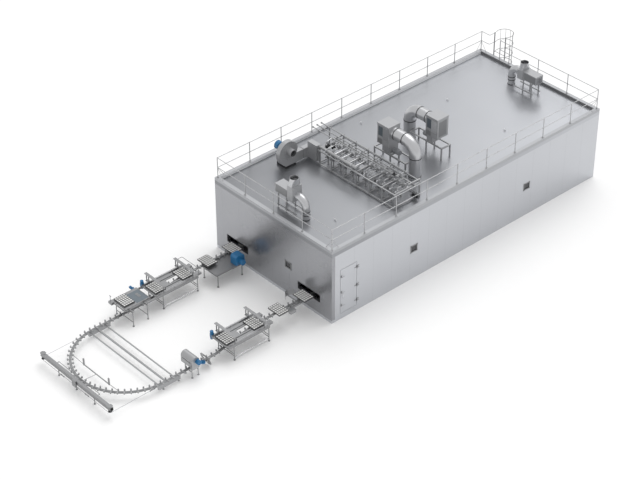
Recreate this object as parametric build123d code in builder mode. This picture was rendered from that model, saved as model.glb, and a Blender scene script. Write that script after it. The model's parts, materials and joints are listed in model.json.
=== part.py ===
from build123d import *
from math import atan2, cos, degrees, hypot, pi, radians, sin
import os

os.makedirs("parts", exist_ok=True)

# Continuous oven for pans of buns: a long insulated house with service equipment on its
# roof, and a carrier chain that leaves one slot, turns round in front and goes back in.
# Origin at the centre of the underside of the house floor, +Y into the depth, +Z up.

# Guard rail, which sets the plan of the house
RAIL_BAY = 2000.0
SIDE_BAYS = 9
END_BAYS = 4
RAIL_INSET = 110.0
RAIL_HEIGHT = 1100.0
MID_RAIL_HEIGHT = 560.0
POST_RADIUS = 22.0
RAIL_RADIUS = 17.0
STAY_RADIUS = 10.0
STAY_REACH = 380.0
STAY_TOP = 540.0
STAY_FOOT = 8.0

# House
OVEN_WIDTH = END_BAYS * RAIL_BAY + 2 * RAIL_INSET
OVEN_LENGTH = SIDE_BAYS * RAIL_BAY + 2 * RAIL_INSET
OVEN_HEIGHT = 4070.0
WALL = 200.0
FLOOR_THICKNESS = 150.0
ROOF_THICKNESS = 200.0
CURB_HEIGHT = 150.0
CURB_WIDTH = 200.0

# Slots in the front wall and the branches of the track that pass through them
BRANCH_OFFSET = 2550.0
SLOT_WIDTH = 1540.0
SLOT_TOP = 1190.0

# Inspection hatches: front wall and right wall
HATCH_SIZE = 380.0
HATCH_HEIGHT = 330.0
HATCH_BOTTOM = 1580.0
HATCH_DEPTH = 60.0
HATCH_RECESS = 20.0
FRONT_HATCH_X = 1115.0
SIDE_HATCH_DISTANCES = (5245.0, 13035.0)

# Service door in the right wall
DOOR_START = 520.0
DOOR_WIDTH = 1040.0
DOOR_SILL = 300.0
DOOR_TOP = 2800.0
DOOR_GAP = 15.0
LEAF_THICKNESS = 100.0
HINGE_HEIGHTS = (620.0, 1470.0, 2500.0)
LATCH_HEIGHTS = (770.0, 1520.0, 2400.0)
HINGE_PLATE = 8.0
HINGE_STRAP = 130.0
KNUCKLE_RADIUS = 22.0
KNUCKLE_LENGTH = 50.0
KNUCKLE_STANDOFF = 2.0
HINGE_PIN_RADIUS = 9.0
HINGE_CLEARANCE = 0.3
HINGE_SET_BACK = 5.0

# Track, chain and pans
TRACK_WIDTH = 110.0
TRACK_DEPTH = 60.0
TRACK_HIGH = 830.0
TRACK_LOW = 400.0
GROOVE_WIDTH = 60.0
GROOVE_DEPTH = 24.0
CURVE_DISTANCE = 8620.0
SLOPE_START = 3400.0
SLOPE_END = 5600.0
TRACK_INSIDE = 500.0
CHAIN_WIDTH = 44.0
CHAIN_THICKNESS = 30.0
CARRIER_PITCH = 290.0
CARRIER_WIDTH = 40.0
CARRIER_THICKNESS = 12.0
CARRIER_SINK = 2.0
STUD_SPREAD = 117.0
STUD_RADIUS = 38.0
STUD_SIDES = 8
STUD_HEIGHT = 88.0
STUD_DROP = 34.0
PAN_WIDTH = 800.0
PAN_LENGTH = 600.0
PAN_HEIGHT = 60.0
PAN_RIM = 12.0

SLOT_BOTTOM = TRACK_HIGH - TRACK_DEPTH
FRONT = -OVEN_LENGTH / 2
REAR = OVEN_LENGTH / 2
LEFT = -OVEN_WIDTH / 2
RIGHT = OVEN_WIDTH / 2
DECK = OVEN_HEIGHT - CURB_HEIGHT
WALL_TOP = DECK - ROOF_THICKNESS
CURVE_CENTRE = FRONT - CURVE_DISTANCE


def block(x, y, z, mode=Mode.ADD):
    """A box between two limits along each axis."""
    size = (x[1] - x[0], y[1] - y[0], z[1] - z[0])
    centre = ((x[0] + x[1]) / 2, (y[0] + y[1]) / 2, (z[0] + z[1]) / 2)
    with Locations(centre):
        Box(*size, mode=mode)


def rod(start, end, radius, mode=Mode.ADD):
    """A round bar from one point to another."""
    run = Vector(*end) - Vector(*start)
    with Locations(Plane(origin=start, z_dir=run)):
        Cylinder(radius, run.length, align=(Align.CENTER, Align.CENTER, Align.MIN), mode=mode)


def bent_rod(points, radius, bend):
    """A round bar along straight runs with a rounded bend between each two."""
    with BuildLine() as path:
        FilletPolyline(*points, radius=bend)
    with BuildSketch(Plane(origin=path.line @ 0, z_dir=path.line % 0)) as profile:
        Circle(radius)
    sweep(sections=profile.sketch, path=path.wire())


# House floor
with BuildPart() as oven_floor:
    block((LEFT, RIGHT), (FRONT, REAR), (0, FLOOR_THICKNESS))
oven_floor.part.label = "oven_floor"
export_step(oven_floor.part, "parts/oven_floor.step")

# Front wall: sill below the slots, piers beside them and the wall above
FRONT_WALL = (FRONT, FRONT + WALL)
SLOT_EDGES = (
    LEFT,
    -BRANCH_OFFSET - SLOT_WIDTH / 2,
    -BRANCH_OFFSET + SLOT_WIDTH / 2,
    BRANCH_OFFSET - SLOT_WIDTH / 2,
    BRANCH_OFFSET + SLOT_WIDTH / 2,
    RIGHT,
)

with BuildPart() as front_wall_sill:
    block((LEFT, RIGHT), FRONT_WALL, (FLOOR_THICKNESS, SLOT_BOTTOM))
front_wall_sill.part.label = "front_wall_sill"
export_step(front_wall_sill.part, "parts/front_wall_sill.step")

with BuildPart() as front_wall_piers:
    for edge in (0, 2, 4):
        block(SLOT_EDGES[edge : edge + 2], FRONT_WALL, (SLOT_BOTTOM, SLOT_TOP))
front_wall_piers.part.label = "front_wall_piers"
export_step(front_wall_piers.part, "parts/front_wall_piers.step")

FRONT_HATCH = (FRONT_HATCH_X - HATCH_SIZE / 2, FRONT_HATCH_X + HATCH_SIZE / 2)
HATCH_SPAN = (HATCH_BOTTOM, HATCH_BOTTOM + HATCH_HEIGHT)

with BuildPart() as front_wall:
    block((LEFT, RIGHT), FRONT_WALL, (SLOT_TOP, WALL_TOP))
    block(FRONT_HATCH, FRONT_WALL, HATCH_SPAN, Mode.SUBTRACT)
front_wall.part.label = "front_wall"
export_step(front_wall.part, "parts/front_wall.step")

# Rear and left walls, which nothing interrupts
with BuildPart() as rear_wall:
    block((LEFT, RIGHT), (REAR - WALL, REAR), (FLOOR_THICKNESS, WALL_TOP))
rear_wall.part.label = "rear_wall"
export_step(rear_wall.part, "parts/rear_wall.step")

with BuildPart() as left_wall:
    block((LEFT, LEFT + WALL), (FRONT + WALL, REAR - WALL), (FLOOR_THICKNESS, WALL_TOP))
left_wall.part.label = "left_wall"
export_step(left_wall.part, "parts/left_wall.step")

# Right wall, split beside and over the service door
RIGHT_WALL = (RIGHT - WALL, RIGHT)
DOOR_EDGES = (FRONT + DOOR_START, FRONT + DOOR_START + DOOR_WIDTH)

with BuildPart() as right_wall:
    block(RIGHT_WALL, (FRONT + WALL, DOOR_EDGES[0]), (FLOOR_THICKNESS, WALL_TOP))
    block(RIGHT_WALL, (DOOR_EDGES[1], REAR - WALL), (FLOOR_THICKNESS, WALL_TOP))
    for distance in SIDE_HATCH_DISTANCES:
        middle = FRONT + distance
        side = (middle - HATCH_SIZE / 2, middle + HATCH_SIZE / 2)
        block(RIGHT_WALL, side, HATCH_SPAN, Mode.SUBTRACT)
right_wall.part.label = "right_wall"
export_step(right_wall.part, "parts/right_wall.step")

with BuildPart() as doorway_lintel_and_sill:
    block(RIGHT_WALL, DOOR_EDGES, (FLOOR_THICKNESS, DOOR_SILL))
    block(RIGHT_WALL, DOOR_EDGES, (DOOR_TOP, WALL_TOP))
doorway_lintel_and_sill.part.label = "doorway_lintel_and_sill"
export_step(doorway_lintel_and_sill.part, "parts/doorway_lintel_and_sill.step")

# Roof deck and the curb that stands round it
with BuildPart() as roof_deck:
    block((LEFT, RIGHT), (FRONT, REAR), (WALL_TOP, DECK))
roof_deck.part.label = "roof_deck"
export_step(roof_deck.part, "parts/roof_deck.step")

with BuildPart() as roof_curb_sides:
    block((LEFT, LEFT + CURB_WIDTH), (FRONT, REAR), (DECK, OVEN_HEIGHT))
    block((RIGHT - CURB_WIDTH, RIGHT), (FRONT, REAR), (DECK, OVEN_HEIGHT))
roof_curb_sides.part.label = "roof_curb_sides"
export_step(roof_curb_sides.part, "parts/roof_curb_sides.step")

with BuildPart() as roof_curb_ends:
    inner = (LEFT + CURB_WIDTH, RIGHT - CURB_WIDTH)
    block(inner, (FRONT, FRONT + CURB_WIDTH), (DECK, OVEN_HEIGHT))
    block(inner, (REAR - CURB_WIDTH, REAR), (DECK, OVEN_HEIGHT))
roof_curb_ends.part.label = "roof_curb_ends"
export_step(roof_curb_ends.part, "parts/roof_curb_ends.step")

# Dark panes that close the inspection hatches
with BuildPart() as hatch_panes:
    pane = (FRONT + HATCH_RECESS, FRONT + HATCH_RECESS + HATCH_DEPTH)
    block(FRONT_HATCH, pane, HATCH_SPAN)
    for distance in SIDE_HATCH_DISTANCES:
        middle = FRONT + distance
        side = (middle - HATCH_SIZE / 2, middle + HATCH_SIZE / 2)
        block((RIGHT - HATCH_RECESS - HATCH_DEPTH, RIGHT - HATCH_RECESS), side, HATCH_SPAN)
hatch_panes.part.label = "hatch_panes"
export_step(hatch_panes.part, "parts/hatch_panes.step")

# Service door: insulated leaf, hinge straps and latches turn together about one pin line
HINGE_X = RIGHT + KNUCKLE_RADIUS + KNUCKLE_STANDOFF
HINGE_Y = DOOR_EDGES[1] + HINGE_SET_BACK
LEAF_EDGES = (DOOR_EDGES[0] + DOOR_GAP, DOOR_EDGES[1] - DOOR_GAP)
LEAF_HEIGHT = (DOOR_SILL + DOOR_GAP, DOOR_TOP - DOOR_GAP)

with BuildPart() as service_door:
    block((RIGHT - LEAF_THICKNESS, RIGHT), LEAF_EDGES, LEAF_HEIGHT)
service_door.part.label = "service_door"
export_step(service_door.part, "parts/service_door.step")

with BuildPart() as door_straps:
    for height in HINGE_HEIGHTS:
        middle = (height - KNUCKLE_LENGTH / 2, height + KNUCKLE_LENGTH / 2)
        block((RIGHT, RIGHT + HINGE_PLATE), (LEAF_EDGES[1] - HINGE_STRAP, HINGE_Y), middle)
        with Locations((HINGE_X, HINGE_Y, height)):
            Cylinder(KNUCKLE_RADIUS, KNUCKLE_LENGTH)
        with Locations((HINGE_X, HINGE_Y, height)):
            Cylinder(HINGE_PIN_RADIUS + HINGE_CLEARANCE, KNUCKLE_LENGTH, mode=Mode.SUBTRACT)
door_straps.part.label = "door_straps"
export_step(door_straps.part, "parts/door_straps.step")

with BuildPart() as door_hinges:
    for height in HINGE_HEIGHTS:
        for step in (-1, 1):
            centre = height + step * (KNUCKLE_LENGTH + HINGE_CLEARANCE)
            span = (centre - KNUCKLE_LENGTH / 2, centre + KNUCKLE_LENGTH / 2)
            block((RIGHT, RIGHT + HINGE_PLATE), (HINGE_Y, HINGE_Y + HINGE_STRAP), span)
            with Locations((HINGE_X, HINGE_Y, centre)):
                Cylinder(KNUCKLE_RADIUS, KNUCKLE_LENGTH)
        with Locations((HINGE_X, HINGE_Y, height)):
            Cylinder(HINGE_PIN_RADIUS, 3 * KNUCKLE_LENGTH)
door_hinges.part.label = "door_hinges"
export_step(door_hinges.part, "parts/door_hinges.step")

LATCH_INSET = 60.0
LATCH_WIDTH = 50.0
LATCH_LENGTH = 120.0
LATCH_BASE = 20.0
LEVER_RADIUS = 9.0
LEVER_LENGTH = 150.0

with BuildPart() as door_latches:
    for height in LATCH_HEIGHTS:
        centre = LEAF_EDGES[0] + LATCH_INSET
        across = (centre - LATCH_WIDTH / 2, centre + LATCH_WIDTH / 2)
        upright = (height - LATCH_LENGTH / 2, height + LATCH_LENGTH / 2)
        block((RIGHT, RIGHT + LATCH_BASE), across, upright)
        spindle = (RIGHT + LATCH_BASE, LEAF_EDGES[0] + LATCH_INSET, height)
        knob = (RIGHT + 3 * LATCH_BASE, LEAF_EDGES[0] + LATCH_INSET, height)
        rod(spindle, knob, LEVER_RADIUS)
        tip = (knob[0], knob[1] + LEVER_LENGTH, height)
        rod((knob[0], knob[1] - LEVER_RADIUS, height), tip, LEVER_RADIUS)
door_latches.part.label = "door_latches"
export_step(door_latches.part, "parts/door_latches.step")

# Guard rails round the roof: posts on the curb, a top rail and a mid rail
RAIL_TOP = OVEN_HEIGHT + RAIL_HEIGHT
MID_RAIL = OVEN_HEIGHT + MID_RAIL_HEIGHT
POST_X = RIGHT - RAIL_INSET
POST_Y = REAR - RAIL_INSET
POST_CLEARANCE = 0.3
POST_TOP = RAIL_TOP + RAIL_RADIUS


def posts(places):
    """Round posts that stand on the curb."""
    with Locations(*[(x, y, OVEN_HEIGHT) for x, y in places]):
        Cylinder(POST_RADIUS, POST_TOP - OVEN_HEIGHT, align=(Align.CENTER, Align.CENTER, Align.MIN))


with BuildPart() as railing_sides:
    for x, inward in ((-POST_X, 1), (POST_X, -1)):
        posts([(x, -POST_Y + bay * RAIL_BAY) for bay in range(SIDE_BAYS + 1)])
        for height in (MID_RAIL, RAIL_TOP):
            rod((x, -POST_Y, height), (x, POST_Y, height), RAIL_RADIUS)
        for corner in (-1, 1):
            top = (x, corner * POST_Y, OVEN_HEIGHT + STAY_TOP)
            along = (x, corner * (POST_Y - STAY_REACH), OVEN_HEIGHT)
            across = (x + inward * STAY_REACH, corner * POST_Y, OVEN_HEIGHT)
            for foot in (along, across):
                rod(foot, (foot[0], foot[1], foot[2] + STAY_FOOT), 2 * STAY_RADIUS)
                rod((foot[0], foot[1], foot[2] + STAY_FOOT), top, STAY_RADIUS)
railing_sides.part.label = "railing_sides"
export_step(railing_sides.part, "parts/railing_sides.step")

RAIL_END = POST_X - POST_RADIUS - POST_CLEARANCE

# Ladder and cage up the rear wall: each hoop is most of a circle with straight ends that run
# in to the stiles, so the hoop sets how far apart the stiles stand
LADDER_X = -3050.0
LADDER_STANDOFF = 280.0
CAGE_RADIUS = 460.0
CAGE_OUT = 630.0
HOOP_WRAP = 15.0
HOOP_RADIUS = 14.0
LADDER_Y = REAR + LADDER_STANDOFF
HOOP_CENTRE = REAR + CAGE_OUT
STILE_RADIUS = 30.0
LADDER_FOOT = 200.0
RUNG_RADIUS = 13.0
RUNG_PITCH = 300.0
RUNG_COUNT = 13
BRACKET_HEIGHTS = (600.0, 2000.0, 3400.0)
CAGE_BOTTOM = 2300.0
CAGE_HOOPS = 6
CAGE_BARS = 5
CAGE_BAR = 9.0
CAGE_BAR_END = 18.0
CAGE_PITCH = (RAIL_TOP - CAGE_BOTTOM) / (CAGE_HOOPS - 1)

wrap_cos = cos(radians(HOOP_WRAP))
wrap_sin = sin(radians(HOOP_WRAP))
hoop_run = (CAGE_OUT - LADDER_STANDOFF - CAGE_RADIUS * wrap_sin) / wrap_cos
STILE_OFFSET = CAGE_RADIUS * wrap_cos - hoop_run * wrap_sin

with BuildPart() as roof_ladder:
    for side in (-1, 1):
        x = LADDER_X + side * STILE_OFFSET
        rod((x, LADDER_Y, LADDER_FOOT), (x, LADDER_Y, RAIL_TOP + STILE_RADIUS), STILE_RADIUS)
        for height in BRACKET_HEIGHTS:
            rod((x, REAR, height), (x, LADDER_Y, height), RUNG_RADIUS)
    reach = STILE_OFFSET - STILE_RADIUS - POST_CLEARANCE
    for rung in range(1, RUNG_COUNT + 1):
        height = LADDER_FOOT + rung * RUNG_PITCH
        rod((LADDER_X - reach, LADDER_Y, height), (LADDER_X + reach, LADDER_Y, height), RUNG_RADIUS)
roof_ladder.part.label = "roof_ladder"
export_step(roof_ladder.part, "parts/roof_ladder.step")

with BuildPart() as cage_hoop:
    start = LADDER_STANDOFF - CAGE_OUT
    with BuildLine() as hoop_path:
        Line((STILE_OFFSET, start), (CAGE_RADIUS * wrap_cos, -CAGE_RADIUS * wrap_sin))
        CenterArc((0, 0), CAGE_RADIUS, -HOOP_WRAP, 180 + 2 * HOOP_WRAP)
        Line((-CAGE_RADIUS * wrap_cos, -CAGE_RADIUS * wrap_sin), (-STILE_OFFSET, start))
    with BuildSketch(Plane(origin=(STILE_OFFSET, start, 0), z_dir=(wrap_sin, wrap_cos, 0))):
        Circle(HOOP_RADIUS)
    sweep(path=hoop_path.wire())
    with Locations((-STILE_OFFSET, start), (STILE_OFFSET, start)):
        Cylinder(STILE_RADIUS + POST_CLEARANCE, 4 * HOOP_RADIUS, mode=Mode.SUBTRACT)

with BuildPart() as cage_hoops:
    hoop_places = [CAGE_BOTTOM + hoop * CAGE_PITCH for hoop in range(CAGE_HOOPS)]
    with Locations(*[(LADDER_X, HOOP_CENTRE, height) for height in hoop_places]):
        add(cage_hoop.part)
cage_hoops.part.label = "cage_hoops"
export_step(cage_hoops.part, "parts/cage_hoops.step")

# Uprights of the cage, which stand just inside its hoops
with BuildPart() as cage_bars:
    inside = CAGE_RADIUS - HOOP_RADIUS - CAGE_BAR - POST_CLEARANCE
    for bar in range(CAGE_BARS):
        angle = pi * (bar + 0.5) / CAGE_BARS
        x = LADDER_X + inside * cos(angle)
        y = HOOP_CENTRE + inside * sin(angle)
        rod((x, y, CAGE_BOTTOM - CAGE_BAR_END), (x, y, RAIL_TOP + CAGE_BAR_END), CAGE_BAR)
cage_bars.part.label = "cage_bars"
export_step(cage_bars.part, "parts/cage_bars.step")

# End rails: the rear one opens at the ladder and turns out to its stiles
RAIL_BEND = 60.0

with BuildPart() as railing_ends:
    inner_posts = [-POST_X + bay * RAIL_BAY for bay in range(1, END_BAYS)]
    posts([(x, -POST_Y) for x in inner_posts])
    turn_left = LADDER_X - STILE_OFFSET
    turn_right = LADDER_X + STILE_OFFSET
    outer_end = LADDER_Y - STILE_RADIUS - POST_CLEARANCE
    posts([(x, POST_Y) for x in [turn_right] + inner_posts])
    for height in (MID_RAIL, RAIL_TOP):
        rod((-RAIL_END, -POST_Y, height), (RAIL_END, -POST_Y, height), RAIL_RADIUS)
        turned_in = [(-RAIL_END, POST_Y, height), (turn_left, POST_Y, height)]
        bent_rod(turned_in + [(turn_left, outer_end, height)], RAIL_RADIUS, RAIL_BEND)
        rod((turn_right, POST_Y, height), (RAIL_END, POST_Y, height), RAIL_RADIUS)
        rod((turn_right, POST_Y, height), (turn_right, outer_end, height), STAY_RADIUS)
railing_ends.part.label = "railing_ends"
export_step(railing_ends.part, "parts/railing_ends.step")

# Blower for the burners: spiral casing with its outlet low on the far side, inlet collar in
# front, and a motor behind it on a shared base frame
BLOWER_FACE = -2500.0
BLOWER_Y = FRONT + 3330.0
BLOWER_AXIS = DECK + 920.0
CASING_WIDTH = 260.0
SCROLL_START = 500.0
SCROLL_GROWTH = 280.0
SCROLL_FROM = -25.0
SCROLL_TO = 270.0
SCROLL_STEPS = 5
OUTLET_REACH = 810.0
OUTLET_HEIGHT = 530.0
INLET_RADIUS = 165.0
INLET_COLLAR = 200.0
INLET_REACH = 280.0
INLET_DEPTH = 240.0
BASE_BAR = 80.0
BASE_FRONT = BLOWER_Y - 240.0
BASE_REAR = BLOWER_Y + 420.0
MOUNT_RADIUS = 35.0
BLOWER_MOTOR_RADIUS = 200.0
BLOWER_MOTOR_LENGTH = 400.0
PEDESTAL_WIDTH = 260.0
CHEEK_REACH = 500.0
CHEEK_DROP = 300.0

CASING_BACK = BLOWER_FACE - CASING_WIDTH
SCROLL_BOTTOM = BLOWER_AXIS - SCROLL_START - SCROLL_GROWTH
OUTLET_FACE = BLOWER_Y + OUTLET_REACH
OUTLET_TOP = SCROLL_BOTTOM + OUTLET_HEIGHT


def scroll_point(step):
    """One point of the spiral, whose radius grows with the square of the share turned."""
    turned = (SCROLL_TO - SCROLL_FROM) * step / SCROLL_STEPS
    radius = SCROLL_START + SCROLL_GROWTH * (turned / (SCROLL_TO - SCROLL_FROM)) ** 2
    angle = radians(SCROLL_FROM + turned)
    return radius * cos(angle), radius * sin(angle)


with BuildPart() as blower_volute:
    scroll = [scroll_point(step) for step in range(SCROLL_STEPS + 1)]
    floor_level = SCROLL_BOTTOM - BLOWER_AXIS
    lip = OUTLET_TOP - BLOWER_AXIS
    casing_plane = Plane(origin=(CASING_BACK, BLOWER_Y, BLOWER_AXIS), x_dir=(0, 1, 0), z_dir=(1, 0, 0))
    with BuildSketch(casing_plane):
        with BuildLine():
            Spline(*scroll)
            outline = [scroll[-1], (OUTLET_REACH, floor_level), (OUTLET_REACH, lip)]
            Polyline(*outline, (scroll[0][0], lip), scroll[0])
        make_face()
        Polygon(
            (BASE_FRONT - BLOWER_Y, floor_level),
            (BASE_REAR - BLOWER_Y, floor_level),
            (CHEEK_REACH, -CHEEK_DROP),
            (-CHEEK_REACH, -CHEEK_DROP),
            align=None,
        )
    extrude(amount=CASING_WIDTH)
    mouth = BLOWER_FACE + INLET_REACH
    rod((BLOWER_FACE, BLOWER_Y, BLOWER_AXIS), (mouth, BLOWER_Y, BLOWER_AXIS), INLET_COLLAR)
    throat = (mouth - INLET_DEPTH, BLOWER_Y, BLOWER_AXIS)
    rod(throat, (mouth, BLOWER_Y, BLOWER_AXIS), INLET_RADIUS, Mode.SUBTRACT)
blower_volute.part.label = "blower_volute"
export_step(blower_volute.part, "parts/blower_volute.step")

motor_start = CASING_BACK - BLOWER_MOTOR_LENGTH

with BuildPart() as blower_stand:
    base = (DECK, DECK + BASE_BAR)
    for y in (BASE_FRONT, BASE_REAR - BASE_BAR):
        block((motor_start, BLOWER_FACE), (y, y + BASE_BAR), base)
    for x in (motor_start, CASING_BACK - BASE_BAR, BLOWER_FACE - BASE_BAR):
        block((x, x + BASE_BAR), (BASE_FRONT, BASE_REAR), base)
    for x in (CASING_BACK + BASE_BAR, BLOWER_FACE - BASE_BAR):
        for y in (BASE_FRONT + BASE_BAR / 2, BASE_REAR - BASE_BAR / 2):
            rod((x, y, DECK), (x, y, SCROLL_BOTTOM), MOUNT_RADIUS)
    column = (BLOWER_Y - PEDESTAL_WIDTH / 2, BLOWER_Y + PEDESTAL_WIDTH / 2)
    block((motor_start, CASING_BACK - BASE_BAR), (BASE_FRONT, BASE_REAR), (DECK, DECK + 2 * BASE_BAR))
    motor_underside = BLOWER_AXIS - BLOWER_MOTOR_RADIUS
    block((motor_start + BASE_BAR, CASING_BACK - BASE_BAR), column, (DECK + BASE_BAR, motor_underside))
blower_stand.part.label = "blower_stand"
export_step(blower_stand.part, "parts/blower_stand.step")

# The motor is ribbed along its frame and has a fan cowl at its free end
MOTOR_RIBS = 16
MOTOR_RIB = 10.0
COWL_LENGTH = 110.0
SHAFT_HOUSING = 60.0

with BuildPart() as blower_motor:
    axis_start = (motor_start, BLOWER_Y, BLOWER_AXIS)
    rod(axis_start, (CASING_BACK, BLOWER_Y, BLOWER_AXIS), BLOWER_MOTOR_RADIUS - 2 * MOTOR_RIB)
    rod(axis_start, (motor_start + COWL_LENGTH, BLOWER_Y, BLOWER_AXIS), BLOWER_MOTOR_RADIUS - MOTOR_RIB / 2)
    ribs_length = BLOWER_MOTOR_LENGTH - COWL_LENGTH - SHAFT_HOUSING
    ribs_middle = motor_start + COWL_LENGTH + ribs_length / 2
    with Locations(Plane(origin=(ribs_middle, BLOWER_Y, BLOWER_AXIS), x_dir=(0, 0, -1), z_dir=(1, 0, 0))):
        with PolarLocations(BLOWER_MOTOR_RADIUS - 2 * MOTOR_RIB, MOTOR_RIBS):
            Box(4 * MOTOR_RIB, MOTOR_RIB, ribs_length)
blower_motor.part.label = "blower_motor"
export_step(blower_motor.part, "parts/blower_motor.step")

# Air duct from the blower: flexible collar, a low box, and a tall box beside the burner rack
COLLAR_LENGTH = 120.0
COLLAR_SINK = 20.0
LOW_DUCT_LENGTH = 500.0
TALL_DUCT = (-2500.0, -1860.0)
TALL_DUCT_DEPTH = 280.0
TALL_DUCT_TOP = DECK + 1020.0
DUCT_FOOT = 60.0

with BuildPart() as air_duct:
    collar_end = OUTLET_FACE + COLLAR_LENGTH
    duct_end = collar_end + LOW_DUCT_LENGTH
    inner_width = (CASING_BACK + COLLAR_SINK, BLOWER_FACE - COLLAR_SINK)
    inner_height = (SCROLL_BOTTOM + COLLAR_SINK, OUTLET_TOP - COLLAR_SINK)
    block(inner_width, (OUTLET_FACE, collar_end), inner_height)
    for y in (OUTLET_FACE, collar_end - COLLAR_SINK):
        block((CASING_BACK, BLOWER_FACE), (y, y + COLLAR_SINK), (SCROLL_BOTTOM, OUTLET_TOP))
    block((CASING_BACK, BLOWER_FACE), (collar_end, duct_end), (SCROLL_BOTTOM, OUTLET_TOP))
    block(TALL_DUCT, (duct_end - TALL_DUCT_DEPTH, duct_end), (SCROLL_BOTTOM, TALL_DUCT_TOP))
    for x in (CASING_BACK, BLOWER_FACE - DUCT_FOOT, TALL_DUCT[1] - DUCT_FOOT):
        block((x, x + DUCT_FOOT), (duct_end - DUCT_FOOT, duct_end), (DECK, SCROLL_BOTTOM))
air_duct.part.label = "air_duct"
export_step(air_duct.part, "parts/air_duct.step")

# Burner rack: square posts, ties across and beams along it, each a piece of its own
RACK_LEFT = -1800.0
RACK_RIGHT = 3450.0
RACK_FRONT = FRONT + 4550.0
RACK_REAR = FRONT + 6200.0
RACK_HEIGHT = 850.0
RACK_TUBE = 50.0
RACK_FRAMES = 7
RACK_FOOT = 60.0
UPPER_RACK = 1030.0
ARM_FRONT = FRONT + 5420.0
OUTRIGGER_X = -2810.0
RACK_TOP = DECK + RACK_HEIGHT
ARM_TOP = DECK + UPPER_RACK
rack_pitch = (RACK_RIGHT - RACK_LEFT - RACK_TUBE) / (RACK_FRAMES - 1)
frame_places = [RACK_LEFT + frame * rack_pitch for frame in range(RACK_FRAMES)]

with BuildPart() as rack_posts:
    for x in frame_places:
        block((x, x + RACK_TUBE), (RACK_FRONT, RACK_FRONT + RACK_TUBE), (DECK, RACK_TOP))
        block((x, x + RACK_TUBE), (RACK_REAR - RACK_TUBE, RACK_REAR), (DECK, ARM_TOP))
    block((OUTRIGGER_X, OUTRIGGER_X + RACK_TUBE), (RACK_REAR - RACK_TUBE, RACK_REAR), (DECK, ARM_TOP))
rack_posts.part.label = "rack_posts"
export_step(rack_posts.part, "parts/rack_posts.step")

with BuildPart() as rack_ties:
    between = (RACK_FRONT + RACK_TUBE, RACK_REAR - RACK_TUBE)
    for x in frame_places:
        block((x, x + RACK_TUBE), between, (RACK_TOP - RACK_TUBE, RACK_TOP))
        block((x, x + RACK_TUBE), between, (DECK + RACK_FOOT, DECK + RACK_FOOT + RACK_TUBE))
        block((x, x + RACK_TUBE), (ARM_FRONT, between[1]), (ARM_TOP - RACK_TUBE, ARM_TOP))
    outrigger = (OUTRIGGER_X, OUTRIGGER_X + RACK_TUBE)
    block(outrigger, (ARM_FRONT, between[1]), (ARM_TOP - RACK_TUBE, ARM_TOP))
rack_ties.part.label = "rack_ties"
export_step(rack_ties.part, "parts/rack_ties.step")

with BuildPart() as rack_beams:
    for y in (RACK_FRONT - RACK_TUBE, RACK_REAR):
        for z in (DECK + RACK_FOOT, RACK_TOP - RACK_TUBE):
            block((RACK_LEFT, RACK_RIGHT), (y, y + RACK_TUBE), (z, z + RACK_TUBE))
rack_beams.part.label = "rack_beams"
export_step(rack_beams.part, "parts/rack_beams.step")

# Long pipes of the rack: a capped manifold at the front, an air header behind it, and three
# thinner pipes that run on past the left end on the upper arms
MANIFOLD_RADIUS = 75.0
MANIFOLD_END = 750.0
HEADER_RADIUS = 45.0
GAS_PIPE_RADIUS = 28.0
PIPE_CAP = 14.0
CAP_LENGTH = 60.0
PIPE_OVERHANG = 150.0
GAS_PIPE_LEFT = -3240.0
GAS_PIPE_RIGHT = 2700.0
MANIFOLD_Y = FRONT + 4680.0
HEADER_Y = FRONT + 5750.0
GAS_PIPE_YS = (FRONT + 5480.0, FRONT + 5760.0, FRONT + 6040.0)


def capped_pipe(x, y, z, radius):
    """A pipe along X with a thicker cap at each end."""
    rod((x[0], y, z), (x[1], y, z), radius)
    for cap in ((x[0], x[0] + CAP_LENGTH), (x[1] - CAP_LENGTH, x[1])):
        rod((cap[0], y, z), (cap[1], y, z), radius + PIPE_CAP)


with BuildPart() as air_headers:
    pipe_end = RACK_RIGHT + PIPE_OVERHANG
    capped_pipe((TALL_DUCT[1], MANIFOLD_END), MANIFOLD_Y, RACK_TOP + MANIFOLD_RADIUS, MANIFOLD_RADIUS)
    capped_pipe((RACK_LEFT - PIPE_OVERHANG, pipe_end), HEADER_Y, RACK_TOP + HEADER_RADIUS, HEADER_RADIUS)
    for y in GAS_PIPE_YS:
        capped_pipe((GAS_PIPE_LEFT, GAS_PIPE_RIGHT), y, ARM_TOP + GAS_PIPE_RADIUS, GAS_PIPE_RADIUS)
air_headers.part.label = "air_headers"
export_step(air_headers.part, "parts/air_headers.step")

# Burner pipes: each rises from a flange on the deck and bends back to the air header
BURNER_SHARES = (0.32, 0.74)
BURNER_Y = FRONT + 4950.0
BURNER_RADIUS = 30.0
BURNER_BEND = 110.0
BURNER_FLANGE = 90.0
FLANGE_THICKNESS = 25.0
PIPE_CLEARANCE = 0.3
VALVE_BOTTOM = DECK + 330.0
VALVE_HEIGHT = 200.0
VALVE_RADIUS = 55.0
VALVE_FLANGE = 80.0
VALVE_RIM = 22.0
ACTUATOR_RADIUS = 40.0
ACTUATOR_REACH = 190.0
burner_places = [x + share * rack_pitch for x in frame_places[:-1] for share in BURNER_SHARES]
burner_level = RACK_TOP + HEADER_RADIUS

with BuildPart() as gas_branches:
    header_side = HEADER_Y - HEADER_RADIUS - PIPE_CLEARANCE
    for x in burner_places:
        corner = (x, BURNER_Y, burner_level)
        bent_rod([(x, BURNER_Y, DECK), corner, (x, header_side, burner_level)], BURNER_RADIUS, BURNER_BEND)
        rod((x, BURNER_Y, DECK), (x, BURNER_Y, DECK + FLANGE_THICKNESS), BURNER_FLANGE)
gas_branches.part.label = "gas_branches"
export_step(gas_branches.part, "parts/gas_branches.step")

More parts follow.
